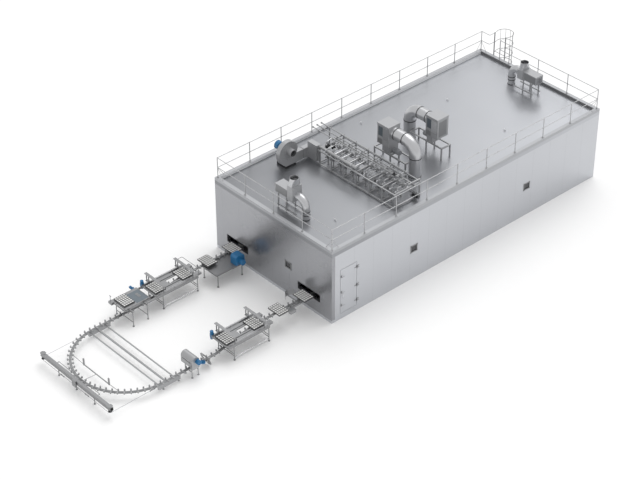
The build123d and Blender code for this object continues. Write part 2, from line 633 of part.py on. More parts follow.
with BuildPart() as gas_valves:
    for x in burner_places:
        base = (x, BURNER_Y, VALVE_BOTTOM)
        top = (x, BURNER_Y, VALVE_BOTTOM + VALVE_HEIGHT)
        rod(base, top, VALVE_RADIUS)
        rod(base, (x, BURNER_Y, VALVE_BOTTOM + VALVE_RIM), VALVE_FLANGE)
        rod((x, BURNER_Y, top[2] - VALVE_RIM), top, VALVE_FLANGE)
        middle = VALVE_BOTTOM + VALVE_HEIGHT / 2
        rod((x, BURNER_Y, middle), (x, BURNER_Y - ACTUATOR_REACH, middle), ACTUATOR_RADIUS)
        rod(base, top, BURNER_RADIUS + PIPE_CLEARANCE, Mode.SUBTRACT)
gas_valves.part.label = "gas_valves"
export_step(gas_valves.part, "parts/gas_valves.step")

# Two exhaust units: fan housing on a stand, round duct and an elbow down to the roof
EXHAUST_PLACES = ((2090.0, FRONT + 7200.0, -1), (-510.0, FRONT + 9400.0, 1))
DUCT_RADIUS = 305.0
ELBOW_RADIUS = 680.0
EXHAUST_AXIS = DECK + 1800.0
EXHAUST_SPAN = 1830.0
HOUSING_LENGTH = 780.0
HOUSING_WIDTH = 740.0
HOUSING_BOTTOM = DECK + 1080.0
HOUSING_TOP = DECK + 2130.0
PLATFORM_TOP = DECK + 700.0
PLATFORM_BAR = 60.0
PLATFORM_WIDTH = 640.0
PLATFORM_OVERHANG = 280.0
DUCT_ROOM = 20.0

with BuildPart() as exhaust_ducts:
    for x, y, side in EXHAUST_PLACES:
        bend_start = EXHAUST_AXIS - ELBOW_RADIUS
        mouth = side * (EXHAUST_SPAN - HOUSING_LENGTH / 2)
        with BuildLine(Plane(origin=(x, y, 0), x_dir=(1, 0, 0), z_dir=(0, -1, 0))) as duct_path:
            Line((0, DECK), (0, bend_start))
            RadiusArc((0, bend_start), (side * ELBOW_RADIUS, EXHAUST_AXIS), side * ELBOW_RADIUS)
            Line((side * ELBOW_RADIUS, EXHAUST_AXIS), (mouth, EXHAUST_AXIS))
        with BuildSketch(Plane.XY.offset(DECK)):
            with Locations((x, y)):
                Circle(DUCT_RADIUS)
        sweep(path=duct_path.wire())
exhaust_ducts.part.label = "exhaust_ducts"
export_step(exhaust_ducts.part, "parts/exhaust_ducts.step")

# Housing: an upper box with a cap that stands proud, and the fan scroll below it
CAP_PROUD = 15.0
CAP_HEIGHT = 60.0
FAN_WIDTH = 560.0

with BuildPart() as exhaust_housings:
    for x, y, side in EXHAUST_PLACES:
        centre = x + side * EXHAUST_SPAN
        across = (y - HOUSING_WIDTH / 2, y + HOUSING_WIDTH / 2)
        ends = (centre - HOUSING_LENGTH / 2, centre + HOUSING_LENGTH / 2)
        block(ends, across, (HOUSING_BOTTOM, HOUSING_TOP))
        proud = sorted((ends[(1 + side) // 2] + side * CAP_PROUD, ends[(1 - side) // 2]))
        cap = (across[0] - CAP_PROUD, across[1] + CAP_PROUD)
        block(proud, cap, (HOUSING_TOP, HOUSING_TOP + CAP_HEIGHT))
        fan = sorted((centre - side * HOUSING_LENGTH / 2, centre))
        block(fan, (y - FAN_WIDTH / 2, y + FAN_WIDTH / 2), (PLATFORM_TOP, HOUSING_BOTTOM))
exhaust_housings.part.label = "exhaust_housings"
export_step(exhaust_housings.part, "parts/exhaust_housings.step")

with BuildPart() as exhaust_stands:
    for x, y, side in EXHAUST_PLACES:
        near = x + side * (DUCT_RADIUS + DUCT_ROOM)
        far = x + side * (EXHAUST_SPAN + HOUSING_LENGTH / 2 + PLATFORM_OVERHANG)
        ends = sorted((near, far))
        level = (PLATFORM_TOP - PLATFORM_BAR, PLATFORM_TOP)
        for edge in (y - PLATFORM_WIDTH / 2, y + PLATFORM_WIDTH / 2 - PLATFORM_BAR):
            block(ends, (edge, edge + PLATFORM_BAR), level)
            for post in (ends[0], (ends[0] + ends[1]) / 2, ends[1] - PLATFORM_BAR):
                block((post, post + PLATFORM_BAR), (edge, edge + PLATFORM_BAR), (DECK, PLATFORM_TOP))
        for post in (ends[0], (ends[0] + ends[1]) / 2, ends[1] - PLATFORM_BAR):
            span = (y - PLATFORM_WIDTH / 2, y + PLATFORM_WIDTH / 2)
            block((post, post + PLATFORM_BAR), span, level)
exhaust_stands.part.label = "exhaust_stands"
export_step(exhaust_stands.part, "parts/exhaust_stands.step")

# Motors of the exhaust fans, on the platforms beside the housings
EXHAUST_MOTOR_RADIUS = 130.0
EXHAUST_MOTOR_LENGTH = 420.0

with BuildPart() as exhaust_motors:
    for x, y, side in EXHAUST_PLACES:
        face = x + side * (EXHAUST_SPAN - HOUSING_LENGTH / 2)
        z = PLATFORM_TOP + EXHAUST_MOTOR_RADIUS
        rod((face - side * EXHAUST_MOTOR_LENGTH, y, z), (face, y, z), EXHAUST_MOTOR_RADIUS)
exhaust_motors.part.label = "exhaust_motors"
export_step(exhaust_motors.part, "parts/exhaust_motors.step")

# Two small vent fans, one at each end of the roof; the last value is the top of the stack
VENT_PLACES = (
    (1220.0, FRONT + 1040.0, -1, DECK + 1880.0),
    (-740.0, FRONT + 16960.0, 1, DECK + 1590.0),
)
VENT_RADIUS = 190.0
VENT_AXIS = DECK + 1000.0
VENT_BEND = 440.0
VENT_STACK_OFFSET = 800.0
STACK_HEIGHT = 390.0
STACK_LENGTH = 250.0
STACK_WIDTH = 550.0
STACK_RADIUS = 215.0
STACK_WALL = 8.0
STACK_CORNER = 20.0
FAN_START = 600.0
FAN_END = 980.0
FAN_BOTTOM = DECK + 700.0
VENT_BOX_END = 1850.0
VENT_BOX_BOTTOM = DECK + 750.0
VENT_BOX_TOP = DECK + 1200.0
VENT_BOX_WIDTH = 520.0
VENT_FAN_WIDTH = 580.0
VENT_BAR = 50.0
VENT_RAILS = (380.0, 1700.0)
VENT_RAIL_BOTTOM = DECK + 150.0
VENT_POSTS = (1040.0, 1600.0)
VENT_POST_SPREAD = 600.0

with BuildPart() as vent_ducts:
    for x, y, side, top in VENT_PLACES:
        with BuildLine(Plane(origin=(x, y, 0), x_dir=(1, 0, 0), z_dir=(0, -1, 0))) as vent_path:
            FilletPolyline((0, DECK), (0, VENT_AXIS), (side * FAN_START, VENT_AXIS), radius=VENT_BEND)
        with BuildSketch(Plane.XY.offset(DECK)):
            with Locations((x, y)):
                Circle(VENT_RADIUS)
        sweep(path=vent_path.wire())
vent_ducts.part.label = "vent_ducts"
export_step(vent_ducts.part, "parts/vent_ducts.step")

with BuildPart() as vent_fans:
    for x, y, side, top in VENT_PLACES:
        fan = sorted((x + side * FAN_START, x + side * FAN_END))
        block(fan, (y - VENT_FAN_WIDTH / 2, y + VENT_FAN_WIDTH / 2), (FAN_BOTTOM, top - STACK_HEIGHT))
        box = sorted((x + side * FAN_END, x + side * VENT_BOX_END))
        block(box, (y - VENT_BOX_WIDTH / 2, y + VENT_BOX_WIDTH / 2), (VENT_BOX_BOTTOM, VENT_BOX_TOP))
vent_fans.part.label = "vent_fans"
export_step(vent_fans.part, "parts/vent_fans.step")

with BuildPart() as vent_stacks:
    for x, y, side, top in VENT_PLACES:
        centre = (x + side * VENT_STACK_OFFSET, y)
        for wall, cut in ((0, Mode.ADD), (STACK_WALL, Mode.SUBTRACT)):
            with BuildSketch(Plane.XY.offset(top - STACK_HEIGHT)):
                with Locations(centre):
                    RectangleRounded(STACK_LENGTH - 2 * wall, STACK_WIDTH - 2 * wall, STACK_CORNER)
            with BuildSketch(Plane.XY.offset(top)):
                with Locations(centre):
                    Circle(STACK_RADIUS - wall)
            loft(mode=cut)
vent_stacks.part.label = "vent_stacks"
export_step(vent_stacks.part, "parts/vent_stacks.step")

# Each vent box stands on four posts, and two rails run along them back to the duct
with BuildPart() as vent_rails:
    for x, y, side, top in VENT_PLACES:
        ends = sorted((x + side * VENT_RAILS[0], x + side * VENT_RAILS[1]))
        for edge in (y - VENT_POST_SPREAD / 2, y + VENT_POST_SPREAD / 2 - VENT_BAR):
            block(ends, (edge, edge + VENT_BAR), (VENT_RAIL_BOTTOM, VENT_RAIL_BOTTOM + VENT_BAR))
            for place in VENT_POSTS:
                post = x + side * place
                column = (post - VENT_BAR / 2, post + VENT_BAR / 2)
                block(column, (edge, edge + VENT_BAR), (DECK, VENT_BOX_BOTTOM))
        for place in VENT_POSTS:
            post = x + side * place
            cross = (y - VENT_POST_SPREAD / 2, y + VENT_POST_SPREAD / 2)
            under_box = (VENT_BOX_BOTTOM - VENT_BAR, VENT_BOX_BOTTOM)
            block((post - VENT_BAR / 2, post + VENT_BAR / 2), cross, under_box)
vent_rails.part.label = "vent_rails"
export_step(vent_rails.part, "parts/vent_rails.step")

# Dark clamp rings at the joints of the round ducts
RING_PROUD = 14.0
RING_WIDTH = 34.0
RING_CLEARANCE = 0.3
RING_RUN = 560.0
BASE_RING = 60.0
VENT_RINGS = (0.0, 250.0, 420.0)


def clamp_ring(centre, direction, radius):
    """A ring round a duct, with a little room inside."""
    with Locations(Plane(origin=centre, z_dir=direction)):
        Cylinder(radius + RING_PROUD, RING_WIDTH, align=(Align.CENTER, Align.CENTER, Align.MIN))
        bore = radius + RING_CLEARANCE
        Cylinder(bore, RING_WIDTH, align=(Align.CENTER, Align.CENTER, Align.MIN), mode=Mode.SUBTRACT)


with BuildPart() as duct_rings:
    for x, y, side in EXHAUST_PLACES:
        for height in (DECK + BASE_RING, EXHAUST_AXIS - ELBOW_RADIUS - RING_WIDTH):
            clamp_ring((x, y, height), (0, 0, 1), DUCT_RADIUS)
        for reach in (ELBOW_RADIUS, ELBOW_RADIUS + RING_RUN):
            clamp_ring((x + side * reach, y, EXHAUST_AXIS), (side, 0, 0), DUCT_RADIUS)
    for x, y, side, top in VENT_PLACES:
        for height in VENT_RINGS:
            clamp_ring((x, y, DECK + height), (0, 0, 1), VENT_RADIUS)
duct_rings.part.label = "duct_rings"
export_step(duct_rings.part, "parts/duct_rings.step")


def side_profile(rise, depth):
    """Side view of one branch of the track, from the slot down to the turn."""
    inside = FRONT + TRACK_INSIDE
    crest = FRONT - SLOPE_START
    foot = FRONT - SLOPE_END
    Polygon(
        (inside, TRACK_HIGH + rise),
        (crest, TRACK_HIGH + rise),
        (foot, TRACK_LOW + rise),
        (CURVE_CENTRE, TRACK_LOW + rise),
        (CURVE_CENTRE, TRACK_LOW + rise - depth),
        (foot, TRACK_LOW + rise - depth),
        (crest, TRACK_HIGH + rise - depth),
        (inside, TRACK_HIGH + rise - depth),
        align=None,
    )


# Track branches and the half turn between them
with BuildPart() as track_branches:
    groove = (GROOVE_DEPTH, GROOVE_WIDTH, Mode.SUBTRACT)
    for depth, width, mode in ((TRACK_DEPTH, TRACK_WIDTH, Mode.ADD), groove):
        for x in (-BRANCH_OFFSET, BRANCH_OFFSET):
            with BuildSketch(Plane(origin=(x, 0, 0), x_dir=(0, 1, 0), z_dir=(1, 0, 0))):
                side_profile(0, depth)
        extrude(amount=width / 2, both=True, mode=mode)
track_branches.part.label = "track_branches"
export_step(track_branches.part, "parts/track_branches.step")

TRACK_UNDERSIDE = TRACK_LOW - TRACK_DEPTH
TURN_AXIS = Axis((0, CURVE_CENTRE, 0), (0, 0, 1))

with BuildPart() as track_curve:
    with BuildSketch(Plane(origin=(0, CURVE_CENTRE, 0), x_dir=(1, 0, 0), z_dir=(0, -1, 0))):
        with Locations((BRANCH_OFFSET, TRACK_LOW - TRACK_DEPTH / 2)):
            Rectangle(TRACK_WIDTH, TRACK_DEPTH)
        with Locations((BRANCH_OFFSET, TRACK_LOW - GROOVE_DEPTH / 2)):
            Rectangle(GROOVE_WIDTH, GROOVE_DEPTH, mode=Mode.SUBTRACT)
    revolve(axis=TURN_AXIS, revolution_arc=-180)
track_curve.part.label = "track_curve"
export_step(track_curve.part, "parts/track_curve.step")

# Carrier chain: one loop that lies in the groove, with cross carriers that end in studs
CHAIN_TOP = CHAIN_THICKNESS - GROOVE_DEPTH
CARRIER_BOTTOM = CHAIN_TOP - CARRIER_SINK
PAN_SEAT = CARRIER_BOTTOM + STUD_HEIGHT - STUD_DROP
slope_run = SLOPE_END - SLOPE_START
slope_drop = TRACK_HIGH - TRACK_LOW
BRANCH_LENGTHS = (TRACK_INSIDE + SLOPE_START, hypot(slope_run, slope_drop), CURVE_DISTANCE - SLOPE_END)


def branch_point(travel):
    """Distance before the front wall, height and pitch at a length of chain from the slot."""
    flat, slope, low = BRANCH_LENGTHS
    if travel <= flat:
        return travel - TRACK_INSIDE, TRACK_HIGH, 0.0
    if travel <= flat + slope:
        share = (travel - flat) / slope
        return SLOPE_START + share * slope_run, TRACK_HIGH - share * slope_drop, atan2(slope_drop, slope_run)
    return SLOPE_END + travel - flat - slope, TRACK_LOW, 0.0


def carrier_places():
    """Where each carrier sits on the chain, from the left slot round to the right one."""
    places = []
    branch = sum(BRANCH_LENGTHS)
    turn = pi * BRANCH_OFFSET
    count = int((2 * branch + turn) // CARRIER_PITCH)
    for number in range(1, count):
        travel = number * CARRIER_PITCH
        if travel < branch:
            distance, height, pitch = branch_point(travel)
            places.append(Location((-BRANCH_OFFSET, FRONT - distance, height), (degrees(pitch), 0, 0)))
        elif travel < branch + turn:
            angle = (travel - branch) / BRANCH_OFFSET
            x = -BRANCH_OFFSET * cos(angle)
            y = CURVE_CENTRE - BRANCH_OFFSET * sin(angle)
            places.append(Location((x, y, TRACK_LOW), (0, 0, degrees(angle))))
        else:
            distance, height, pitch = branch_point(2 * branch + turn - travel)
            places.append(Location((BRANCH_OFFSET, FRONT - distance, height), (degrees(pitch), 0, 0)))
    return places


with BuildPart() as carrier_chain:
    for x in (-BRANCH_OFFSET, BRANCH_OFFSET):
        with BuildSketch(Plane(origin=(x, 0, 0), x_dir=(0, 1, 0), z_dir=(1, 0, 0))):
            side_profile(CHAIN_TOP, CHAIN_THICKNESS)
        extrude(amount=CHAIN_WIDTH / 2, both=True)
    with BuildSketch(Plane(origin=(0, CURVE_CENTRE, 0), x_dir=(1, 0, 0), z_dir=(0, -1, 0))):
        with Locations((BRANCH_OFFSET, TRACK_LOW + CHAIN_TOP - CHAIN_THICKNESS / 2)):
            Rectangle(CHAIN_WIDTH, CHAIN_THICKNESS)
    revolve(axis=TURN_AXIS, revolution_arc=-180)
    with BuildPart(mode=Mode.PRIVATE) as carrier:
        Box(2 * STUD_SPREAD, CARRIER_WIDTH, CARRIER_THICKNESS, align=(Align.CENTER, Align.CENTER, Align.MIN))
        with BuildSketch(Plane.XY.offset(-STUD_DROP)):
            with Locations((-STUD_SPREAD, 0), (STUD_SPREAD, 0)):
                RegularPolygon(STUD_RADIUS, STUD_SIDES)
        extrude(amount=STUD_HEIGHT)
    with Locations(*carrier_places()):
        with Locations((0, 0, CARRIER_BOTTOM)):
            add(carrier.part)
carrier_chain.part.label = "carrier_chain"
export_step(carrier_chain.part, "parts/carrier_chain.step")

# Pans that ride on the chain or wait on the tables: a frame round a sunk tray
TABLE_TOP = 900.0
BED_TOP = TRACK_HIGH + PAN_SEAT
BEAM_TOP = 910.0
PAN_DISTANCES = (340.0, 1870.0, 3380.0, 5000.0)
TABLE_PAN = (-2720.0, 6680.0)

with BuildPart() as bun_pans:
    places = []
    for branch in (-BRANCH_OFFSET, BRANCH_OFFSET):
        for distance in PAN_DISTANCES:
            places.append((branch, FRONT - distance, BED_TOP))
    places.append((TABLE_PAN[0], FRONT - TABLE_PAN[1], TABLE_TOP))
    with Locations(*places):
        Box(PAN_WIDTH, PAN_LENGTH, PAN_HEIGHT, align=(Align.CENTER, Align.CENTER, Align.MIN))
        with Locations((0, 0, PAN_HEIGHT / 2)):
            Box(
                PAN_WIDTH - 2 * PAN_RIM,
                PAN_LENGTH - 2 * PAN_RIM,
                PAN_HEIGHT / 2,
                align=(Align.CENTER, Align.CENTER, Align.MIN),
                mode=Mode.SUBTRACT,
            )
bun_pans.part.label = "bun_pans"
export_step(bun_pans.part, "parts/bun_pans.step")

# Legs of the stations: round tubes on adjustable feet
LEG_RADIUS = 22.0
FOOT_RADIUS = 50.0
FOOT_HEIGHT = 18.0


def leg(x, y, top):
    """A round leg with its foot plate."""
    rod((x, y, 0), (x, y, top), LEG_RADIUS)
    rod((x, y, 0), (x, y, FOOT_HEIGHT), FOOT_RADIUS)


# Loader and unloader: belt beds either side of the falling chain, side beams on four legs,
# end rollers, and guide boxes where the chain comes in
BED_START = 2900.0
BED_END = 5350.0
BED_HALF = 590.0
BED_GAP = 175.0
BED_CLOSES = 4300.0
BED_PLATE = 40.0
SIDE_BEAM = 60.0
SIDE_BEAM_DEPTH = 160.0
STATION_LEG = BED_HALF - SIDE_BEAM / 2
STATION_LEG_DISTANCES = (2950.0, 5000.0)
TIE_HEIGHT = 230.0
TIE_RADIUS = 16.0
ROLLER_RADIUS = 35.0
LOW_BAR_HEIGHT = 150.0
LOW_BAR_RADIUS = 18.0
GUIDE_BOX_X = (240.0, 470.0)
GUIDE_BOX_LENGTH = 280.0
GUIDE_BOX_DEPTH = 110.0
END_TIE_DROP = 120.0

for name, branch in (("pan_loader", -BRANCH_OFFSET), ("pan_unloader", BRANCH_OFFSET)):
    with BuildPart() as pan_station:
        span = (FRONT - BED_END, FRONT - BED_START)
        roller_level = BED_TOP - ROLLER_RADIUS
        for side in (-1, 1):
            inner = sorted((branch + side * BED_GAP, branch + side * (BED_HALF - SIDE_BEAM)))
            outer = sorted((branch + side * (BED_HALF - SIDE_BEAM), branch + side * BED_HALF))
            block(inner, span, (BED_TOP - BED_PLATE, BED_TOP))
            block(outer, span, (BEAM_TOP - SIDE_BEAM_DEPTH, BEAM_TOP))
            rod((inner[0], span[1], roller_level), (inner[1], span[1], roller_level), ROLLER_RADIUS)
            box = sorted((branch + side * GUIDE_BOX_X[0], branch + side * GUIDE_BOX_X[1]))
            reach = (span[1], span[1] + GUIDE_BOX_LENGTH)
            block(box, reach, (BED_TOP - GUIDE_BOX_DEPTH, BED_TOP))
            low_start = (branch + side * STATION_LEG, FRONT - STATION_LEG_DISTANCES[1], LOW_BAR_HEIGHT)
            low_end = (branch + side * STATION_LEG, FRONT - STATION_LEG_DISTANCES[0], LOW_BAR_HEIGHT)
            rod(low_start, low_end, LOW_BAR_RADIUS)
        whole = (branch - BED_HALF + SIDE_BEAM, branch + BED_HALF - SIDE_BEAM)
        block(whole, (span[0], FRONT - BED_CLOSES), (BED_TOP - BED_PLATE, BED_TOP))
        rod((whole[0], span[0], roller_level), (whole[1], span[0], roller_level), ROLLER_RADIUS)
        for distance in STATION_LEG_DISTANCES:
            y = FRONT - distance
            for side in (-1, 1):
                leg(branch + side * STATION_LEG, y, BEAM_TOP - SIDE_BEAM_DEPTH / 2)
            for height in (TIE_HEIGHT, TIE_HEIGHT + END_TIE_DROP):
                rod((branch - STATION_LEG, y, height), (branch + STATION_LEG, y, height), TIE_RADIUS)
    pan_station.part.label = name
    export_step(pan_station.part, f"parts/{name}.step")

# Transfer table at the low end of the left branch: a plate with a turned-up edge towards the
# middle, a roller box and a sensor post at its far end, and two links to the loader's beams
TABLE_X = (-3200.0, -2130.0)
TABLE_Y = (FRONT - 7050.0, FRONT - 5620.0)
TABLE_LEG_X = (-3150.0, -1880.0)
TABLE_LEG_Y = (FRONT - 6850.0, FRONT - 6010.0)
TABLE_PLATE = 30.0
TABLE_EDGE = 20.0
TABLE_EDGE_RISE = 25.0
BEAM_DEPTH = 90.0
BEAM_WIDTH = 50.0
BEAM_OVERHANG = 30.0
ROLLER_BOX_REACH = 170.0
ROLLER_BOX_DEPTH = 130.0
ROLLER_BOX_X = (-3230.0, -2980.0)
SENSOR_POST = 10.0
SENSOR_RISE = 260.0
SENSOR_HEAD = 60.0

with BuildPart() as transfer_table:
    block(TABLE_X, TABLE_Y, (TABLE_TOP - TABLE_PLATE, TABLE_TOP))
    edge = (TABLE_X[1] - TABLE_EDGE, TABLE_X[1])
    block(edge, (TABLE_Y[0] + BEAM_DEPTH, TABLE_Y[1]), (TABLE_TOP, TABLE_TOP + TABLE_EDGE_RISE))
    beam = (TABLE_TOP - TABLE_PLATE - BEAM_DEPTH, TABLE_TOP - TABLE_PLATE)
    for y in TABLE_LEG_Y:
        run = (TABLE_LEG_X[0] - BEAM_OVERHANG, TABLE_LEG_X[1] + BEAM_OVERHANG)
        block(run, (y - BEAM_WIDTH / 2, y + BEAM_WIDTH / 2), beam)
        for x in TABLE_LEG_X:
            leg(x, y, beam[0] + BEAM_DEPTH / 2)
        rod((TABLE_LEG_X[0], y, TIE_HEIGHT), (TABLE_LEG_X[1], y, TIE_HEIGHT), TIE_RADIUS)
    for x in (TABLE_X[0], TABLE_X[1] - BEAM_WIDTH):
        block((x, x + BEAM_WIDTH), TABLE_Y, beam)
    for x in (-BRANCH_OFFSET - BED_HALF, -BRANCH_OFFSET + BED_HALF - SIDE_BEAM):
        block((x, x + SIDE_BEAM), (TABLE_LEG_Y[1], FRONT - BED_END), beam)
    outer = (TABLE_Y[0] - ROLLER_BOX_REACH, TABLE_Y[0])
    block(ROLLER_BOX_X, outer, (TABLE_TOP - ROLLER_BOX_DEPTH, TABLE_TOP))
    roller_level = TABLE_TOP - TABLE_PLATE - ROLLER_RADIUS
    roller_y = TABLE_Y[0] - ROLLER_RADIUS
    rod((ROLLER_BOX_X[1], roller_y, roller_level), (TABLE_X[1], roller_y, roller_level), ROLLER_RADIUS)
    mount = (TABLE_Y[0] - ROLLER_RADIUS, TABLE_Y[0])
    block((TABLE_X[1] - BEAM_WIDTH, TABLE_X[1]), mount, (roller_level, beam[1]))
    post = (ROLLER_BOX_X[0] + SENSOR_HEAD, TABLE_Y[0] - ROLLER_BOX_REACH / 2)
    rod((*post, TABLE_TOP), (*post, TABLE_TOP + SENSOR_RISE), SENSOR_POST)
    sensor = (TABLE_TOP + SENSOR_RISE, TABLE_TOP + SENSOR_RISE + SENSOR_HEAD / 2)
    head = (post[0] - SENSOR_HEAD, post[0] + SENSOR_HEAD)
    block(head, (post[1] - SENSOR_POST, post[1] + SENSOR_POST), sensor)
transfer_table.part.label = "transfer_table"
export_step(transfer_table.part, "parts/transfer_table.step")

# Portals across the stations: a flat arm with two posts on a foot plate over the far beam and
# one post on the near beam; the loader's first one also carries a light tube frame
PORTAL_TOP = 1300.0
PORTAL_DISTANCES = (3200.0, 4930.0)
PORTAL_FAR = -820.0
PORTAL_NEAR = 620.0
PORTAL_DEPTH = 150.0
PORTAL_PLATE = 22.0
PORTAL_POST = 40.0
PORTAL_POSTS = (-760.0, -600.0)
PORTAL_FOOT = 12.0
FRAME_TUBE = 14.0
FRAME_REACH = 280.0
FRAME_BEND = 60.0

with BuildPart() as portals:
    for branch in (-BRANCH_OFFSET, BRANCH_OFFSET):
        for distance in PORTAL_DISTANCES:
            y = FRONT - distance
            along = (y - PORTAL_DEPTH / 2, y + PORTAL_DEPTH / 2)
            under_arm = PORTAL_TOP - PORTAL_PLATE
            block((branch + PORTAL_FAR, branch + PORTAL_NEAR), along, (under_arm, PORTAL_TOP))
            foot = (branch + PORTAL_POSTS[0], branch - BED_HALF + SIDE_BEAM)
            block(foot, along, (BEAM_TOP, BEAM_TOP + PORTAL_FOOT))
            for post in (*PORTAL_POSTS, STATION_LEG - PORTAL_POST / 2):
                side = (branch + post, branch + post + PORTAL_POST)
                block(side, (y - PORTAL_POST / 2, y + PORTAL_POST / 2), (BEAM_TOP, under_arm))
    y = FRONT - PORTAL_DISTANCES[0] + PORTAL_DEPTH / 2 - FRAME_TUBE
    level = PORTAL_TOP - PORTAL_PLATE - FRAME_TUBE + PORTAL_FOOT
    far = -BRANCH_OFFSET + PORTAL_FAR + PORTAL_DEPTH
    near = -BRANCH_OFFSET + STATION_LEG
    frame_run = [(far, y, level), (far, y + FRAME_REACH, level), (near, y + FRAME_REACH, level)]
    bent_rod(frame_run + [(near, y + FRAME_REACH, BEAM_TOP)], FRAME_TUBE, FRAME_BEND)
portals.part.label = "portals"
export_step(portals.part, "parts/portals.step")

# Drive table under the left branch, next to the oven: folded sheet on four legs, with a guard
DRIVE_TABLE_X = (-BRANCH_OFFSET - 110.0, -BRANCH_OFFSET + 1040.0)
DRIVE_TABLE_Y = (FRONT - 2180.0, FRONT - 460.0)
DRIVE_TABLE_TOP = TRACK_HIGH - TRACK_DEPTH
DRIVE_SHEET = 15.0
DRIVE_LEG_INSET = 60.0
DRIVE_LEG_Y = (FRONT - 2060.0, FRONT - 580.0)
GUARD_HEIGHT = 90.0
GUARD_LENGTH = 760.0
GUARD_PLATE = 25.0

with BuildPart() as drive_table:
    block(DRIVE_TABLE_X, DRIVE_TABLE_Y, (DRIVE_TABLE_TOP - BEAM_DEPTH, DRIVE_TABLE_TOP))
    under_x = (DRIVE_TABLE_X[0] + DRIVE_SHEET, DRIVE_TABLE_X[1] - DRIVE_SHEET)
    under_y = (DRIVE_TABLE_Y[0] + DRIVE_SHEET, DRIVE_TABLE_Y[1] - DRIVE_SHEET)
    under_sheet = (DRIVE_TABLE_TOP - BEAM_DEPTH, DRIVE_TABLE_TOP - DRIVE_SHEET)
    block(under_x, under_y, under_sheet, Mode.SUBTRACT)
    for x in (DRIVE_TABLE_X[0] + DRIVE_LEG_INSET, DRIVE_TABLE_X[1] - DRIVE_LEG_INSET):
        for y in DRIVE_LEG_Y:
            leg(x, y, under_sheet[1])
    edge = DRIVE_TABLE_X[1]
    guard = (DRIVE_TABLE_Y[1] - GUARD_LENGTH, DRIVE_TABLE_Y[1])
    block((edge, edge + GUARD_PLATE), guard, (DRIVE_TABLE_TOP - GUARD_HEIGHT, DRIVE_TABLE_TOP))
drive_table.part.label = "drive_table"
export_step(drive_table.part, "parts/drive_table.step")

# Drive: a rounded gearbox on the table and its motor, which points towards the middle
GEARBOX_X = -BRANCH_OFFSET + 880.0
GEARBOX_Y = FRONT - 750.0
GEARBOX_LENGTH = 520.0
GEARBOX_WIDTH = 420.0
GEARBOX_HEIGHT = 500.0
GEARBOX_CORNER = 130.0
DRIVE_MOTOR_RADIUS = 135.0
DRIVE_MOTOR_LENGTH = 240.0
DRIVE_MOTOR_HEIGHT = 190.0

with BuildPart() as drive_unit:
    middle = DRIVE_TABLE_TOP + GEARBOX_HEIGHT / 2
    side_face = (GEARBOX_X - GEARBOX_WIDTH / 2, GEARBOX_Y, middle)
    with BuildSketch(Plane(origin=side_face, x_dir=(0, 1, 0), z_dir=(1, 0, 0))):
        RectangleRounded(GEARBOX_LENGTH, GEARBOX_HEIGHT, GEARBOX_CORNER)
        with Locations((0, -GEARBOX_HEIGHT / 4)):
            Rectangle(GEARBOX_LENGTH, GEARBOX_HEIGHT / 2)
    extrude(amount=GEARBOX_WIDTH)
    height = DRIVE_TABLE_TOP + DRIVE_MOTOR_HEIGHT
    face = GEARBOX_X + GEARBOX_WIDTH / 2
    rod((face, GEARBOX_Y, height), (face + DRIVE_MOTOR_LENGTH, GEARBOX_Y, height), DRIVE_MOTOR_RADIUS)
drive_unit.part.label = "drive_unit"
export_step(drive_unit.part, "parts/drive_unit.step")

# Brush cleaner over the right branch: an arched hood above the chain, a lower box beside it,
# and three legs
CLEANER_X = (BRANCH_OFFSET - 460.0, BRANCH_OFFSET + 330.0)
CLEANER_Y = (FRONT - 7230.0, FRONT - 6820.0)
HOOD_BOTTOM = 560.0
HOOD_SPRING = 900.0
LOWER_BOX = (BRANCH_OFFSET + 190.0, BRANCH_OFFSET + 330.0)
LOWER_BOX_BOTTOM = 470.0
CLEANER_LEG_X = (BRANCH_OFFSET - 200.0, BRANCH_OFFSET + 260.0)
LEG_INSET = 30.0
CLEANER_BRIDGE = 2.0 * TIE_RADIUS
SLOT_RECESS = 40.0
SLOT_HEIGHT = 50.0
SLOT_SHARE = 0.75
SLOT_LEVEL = 800.0

with BuildPart() as pan_cleaner:
    width = CLEANER_Y[1] - CLEANER_Y[0]
    middle = (CLEANER_Y[0] + CLEANER_Y[1]) / 2
    with BuildSketch(Plane(origin=(CLEANER_X[0], middle, 0), x_dir=(0, 1, 0), z_dir=(1, 0, 0))):
        with Locations((0, (HOOD_BOTTOM + HOOD_SPRING) / 2)):
            Rectangle(width, HOOD_SPRING - HOOD_BOTTOM)
        with Locations((0, HOOD_SPRING)):
            Circle(width / 2)
    extrude(amount=CLEANER_X[1] - CLEANER_X[0])
    slot_centre = (CLEANER_X[0] + CLEANER_X[1]) / 2
    slot_half = (CLEANER_X[1] - CLEANER_X[0]) * SLOT_SHARE / 2
    slot = (slot_centre - slot_half, slot_centre + slot_half)
    recess = (CLEANER_Y[0], CLEANER_Y[0] + SLOT_RECESS)
    block(slot, recess, (SLOT_LEVEL, SLOT_LEVEL + SLOT_HEIGHT), Mode.SUBTRACT)
    block(LOWER_BOX, CLEANER_Y, (LOWER_BOX_BOTTOM, HOOD_BOTTOM))
    for x in CLEANER_LEG_X:
        for y in (CLEANER_Y[0] + LEG_INSET, CLEANER_Y[1] - LEG_INSET):
            leg(x, y, HOOD_BOTTOM + LEG_INSET)
    for y in (CLEANER_Y[0] + LEG_INSET, CLEANER_Y[1] - LEG_INSET):
        bridge = (TRACK_UNDERSIDE - CLEANER_BRIDGE, TRACK_UNDERSIDE)
        block(CLEANER_LEG_X, (y - TIE_RADIUS, y + TIE_RADIUS), bridge)
pan_cleaner.part.label = "pan_cleaner"
export_step(pan_cleaner.part, "parts/pan_cleaner.step")

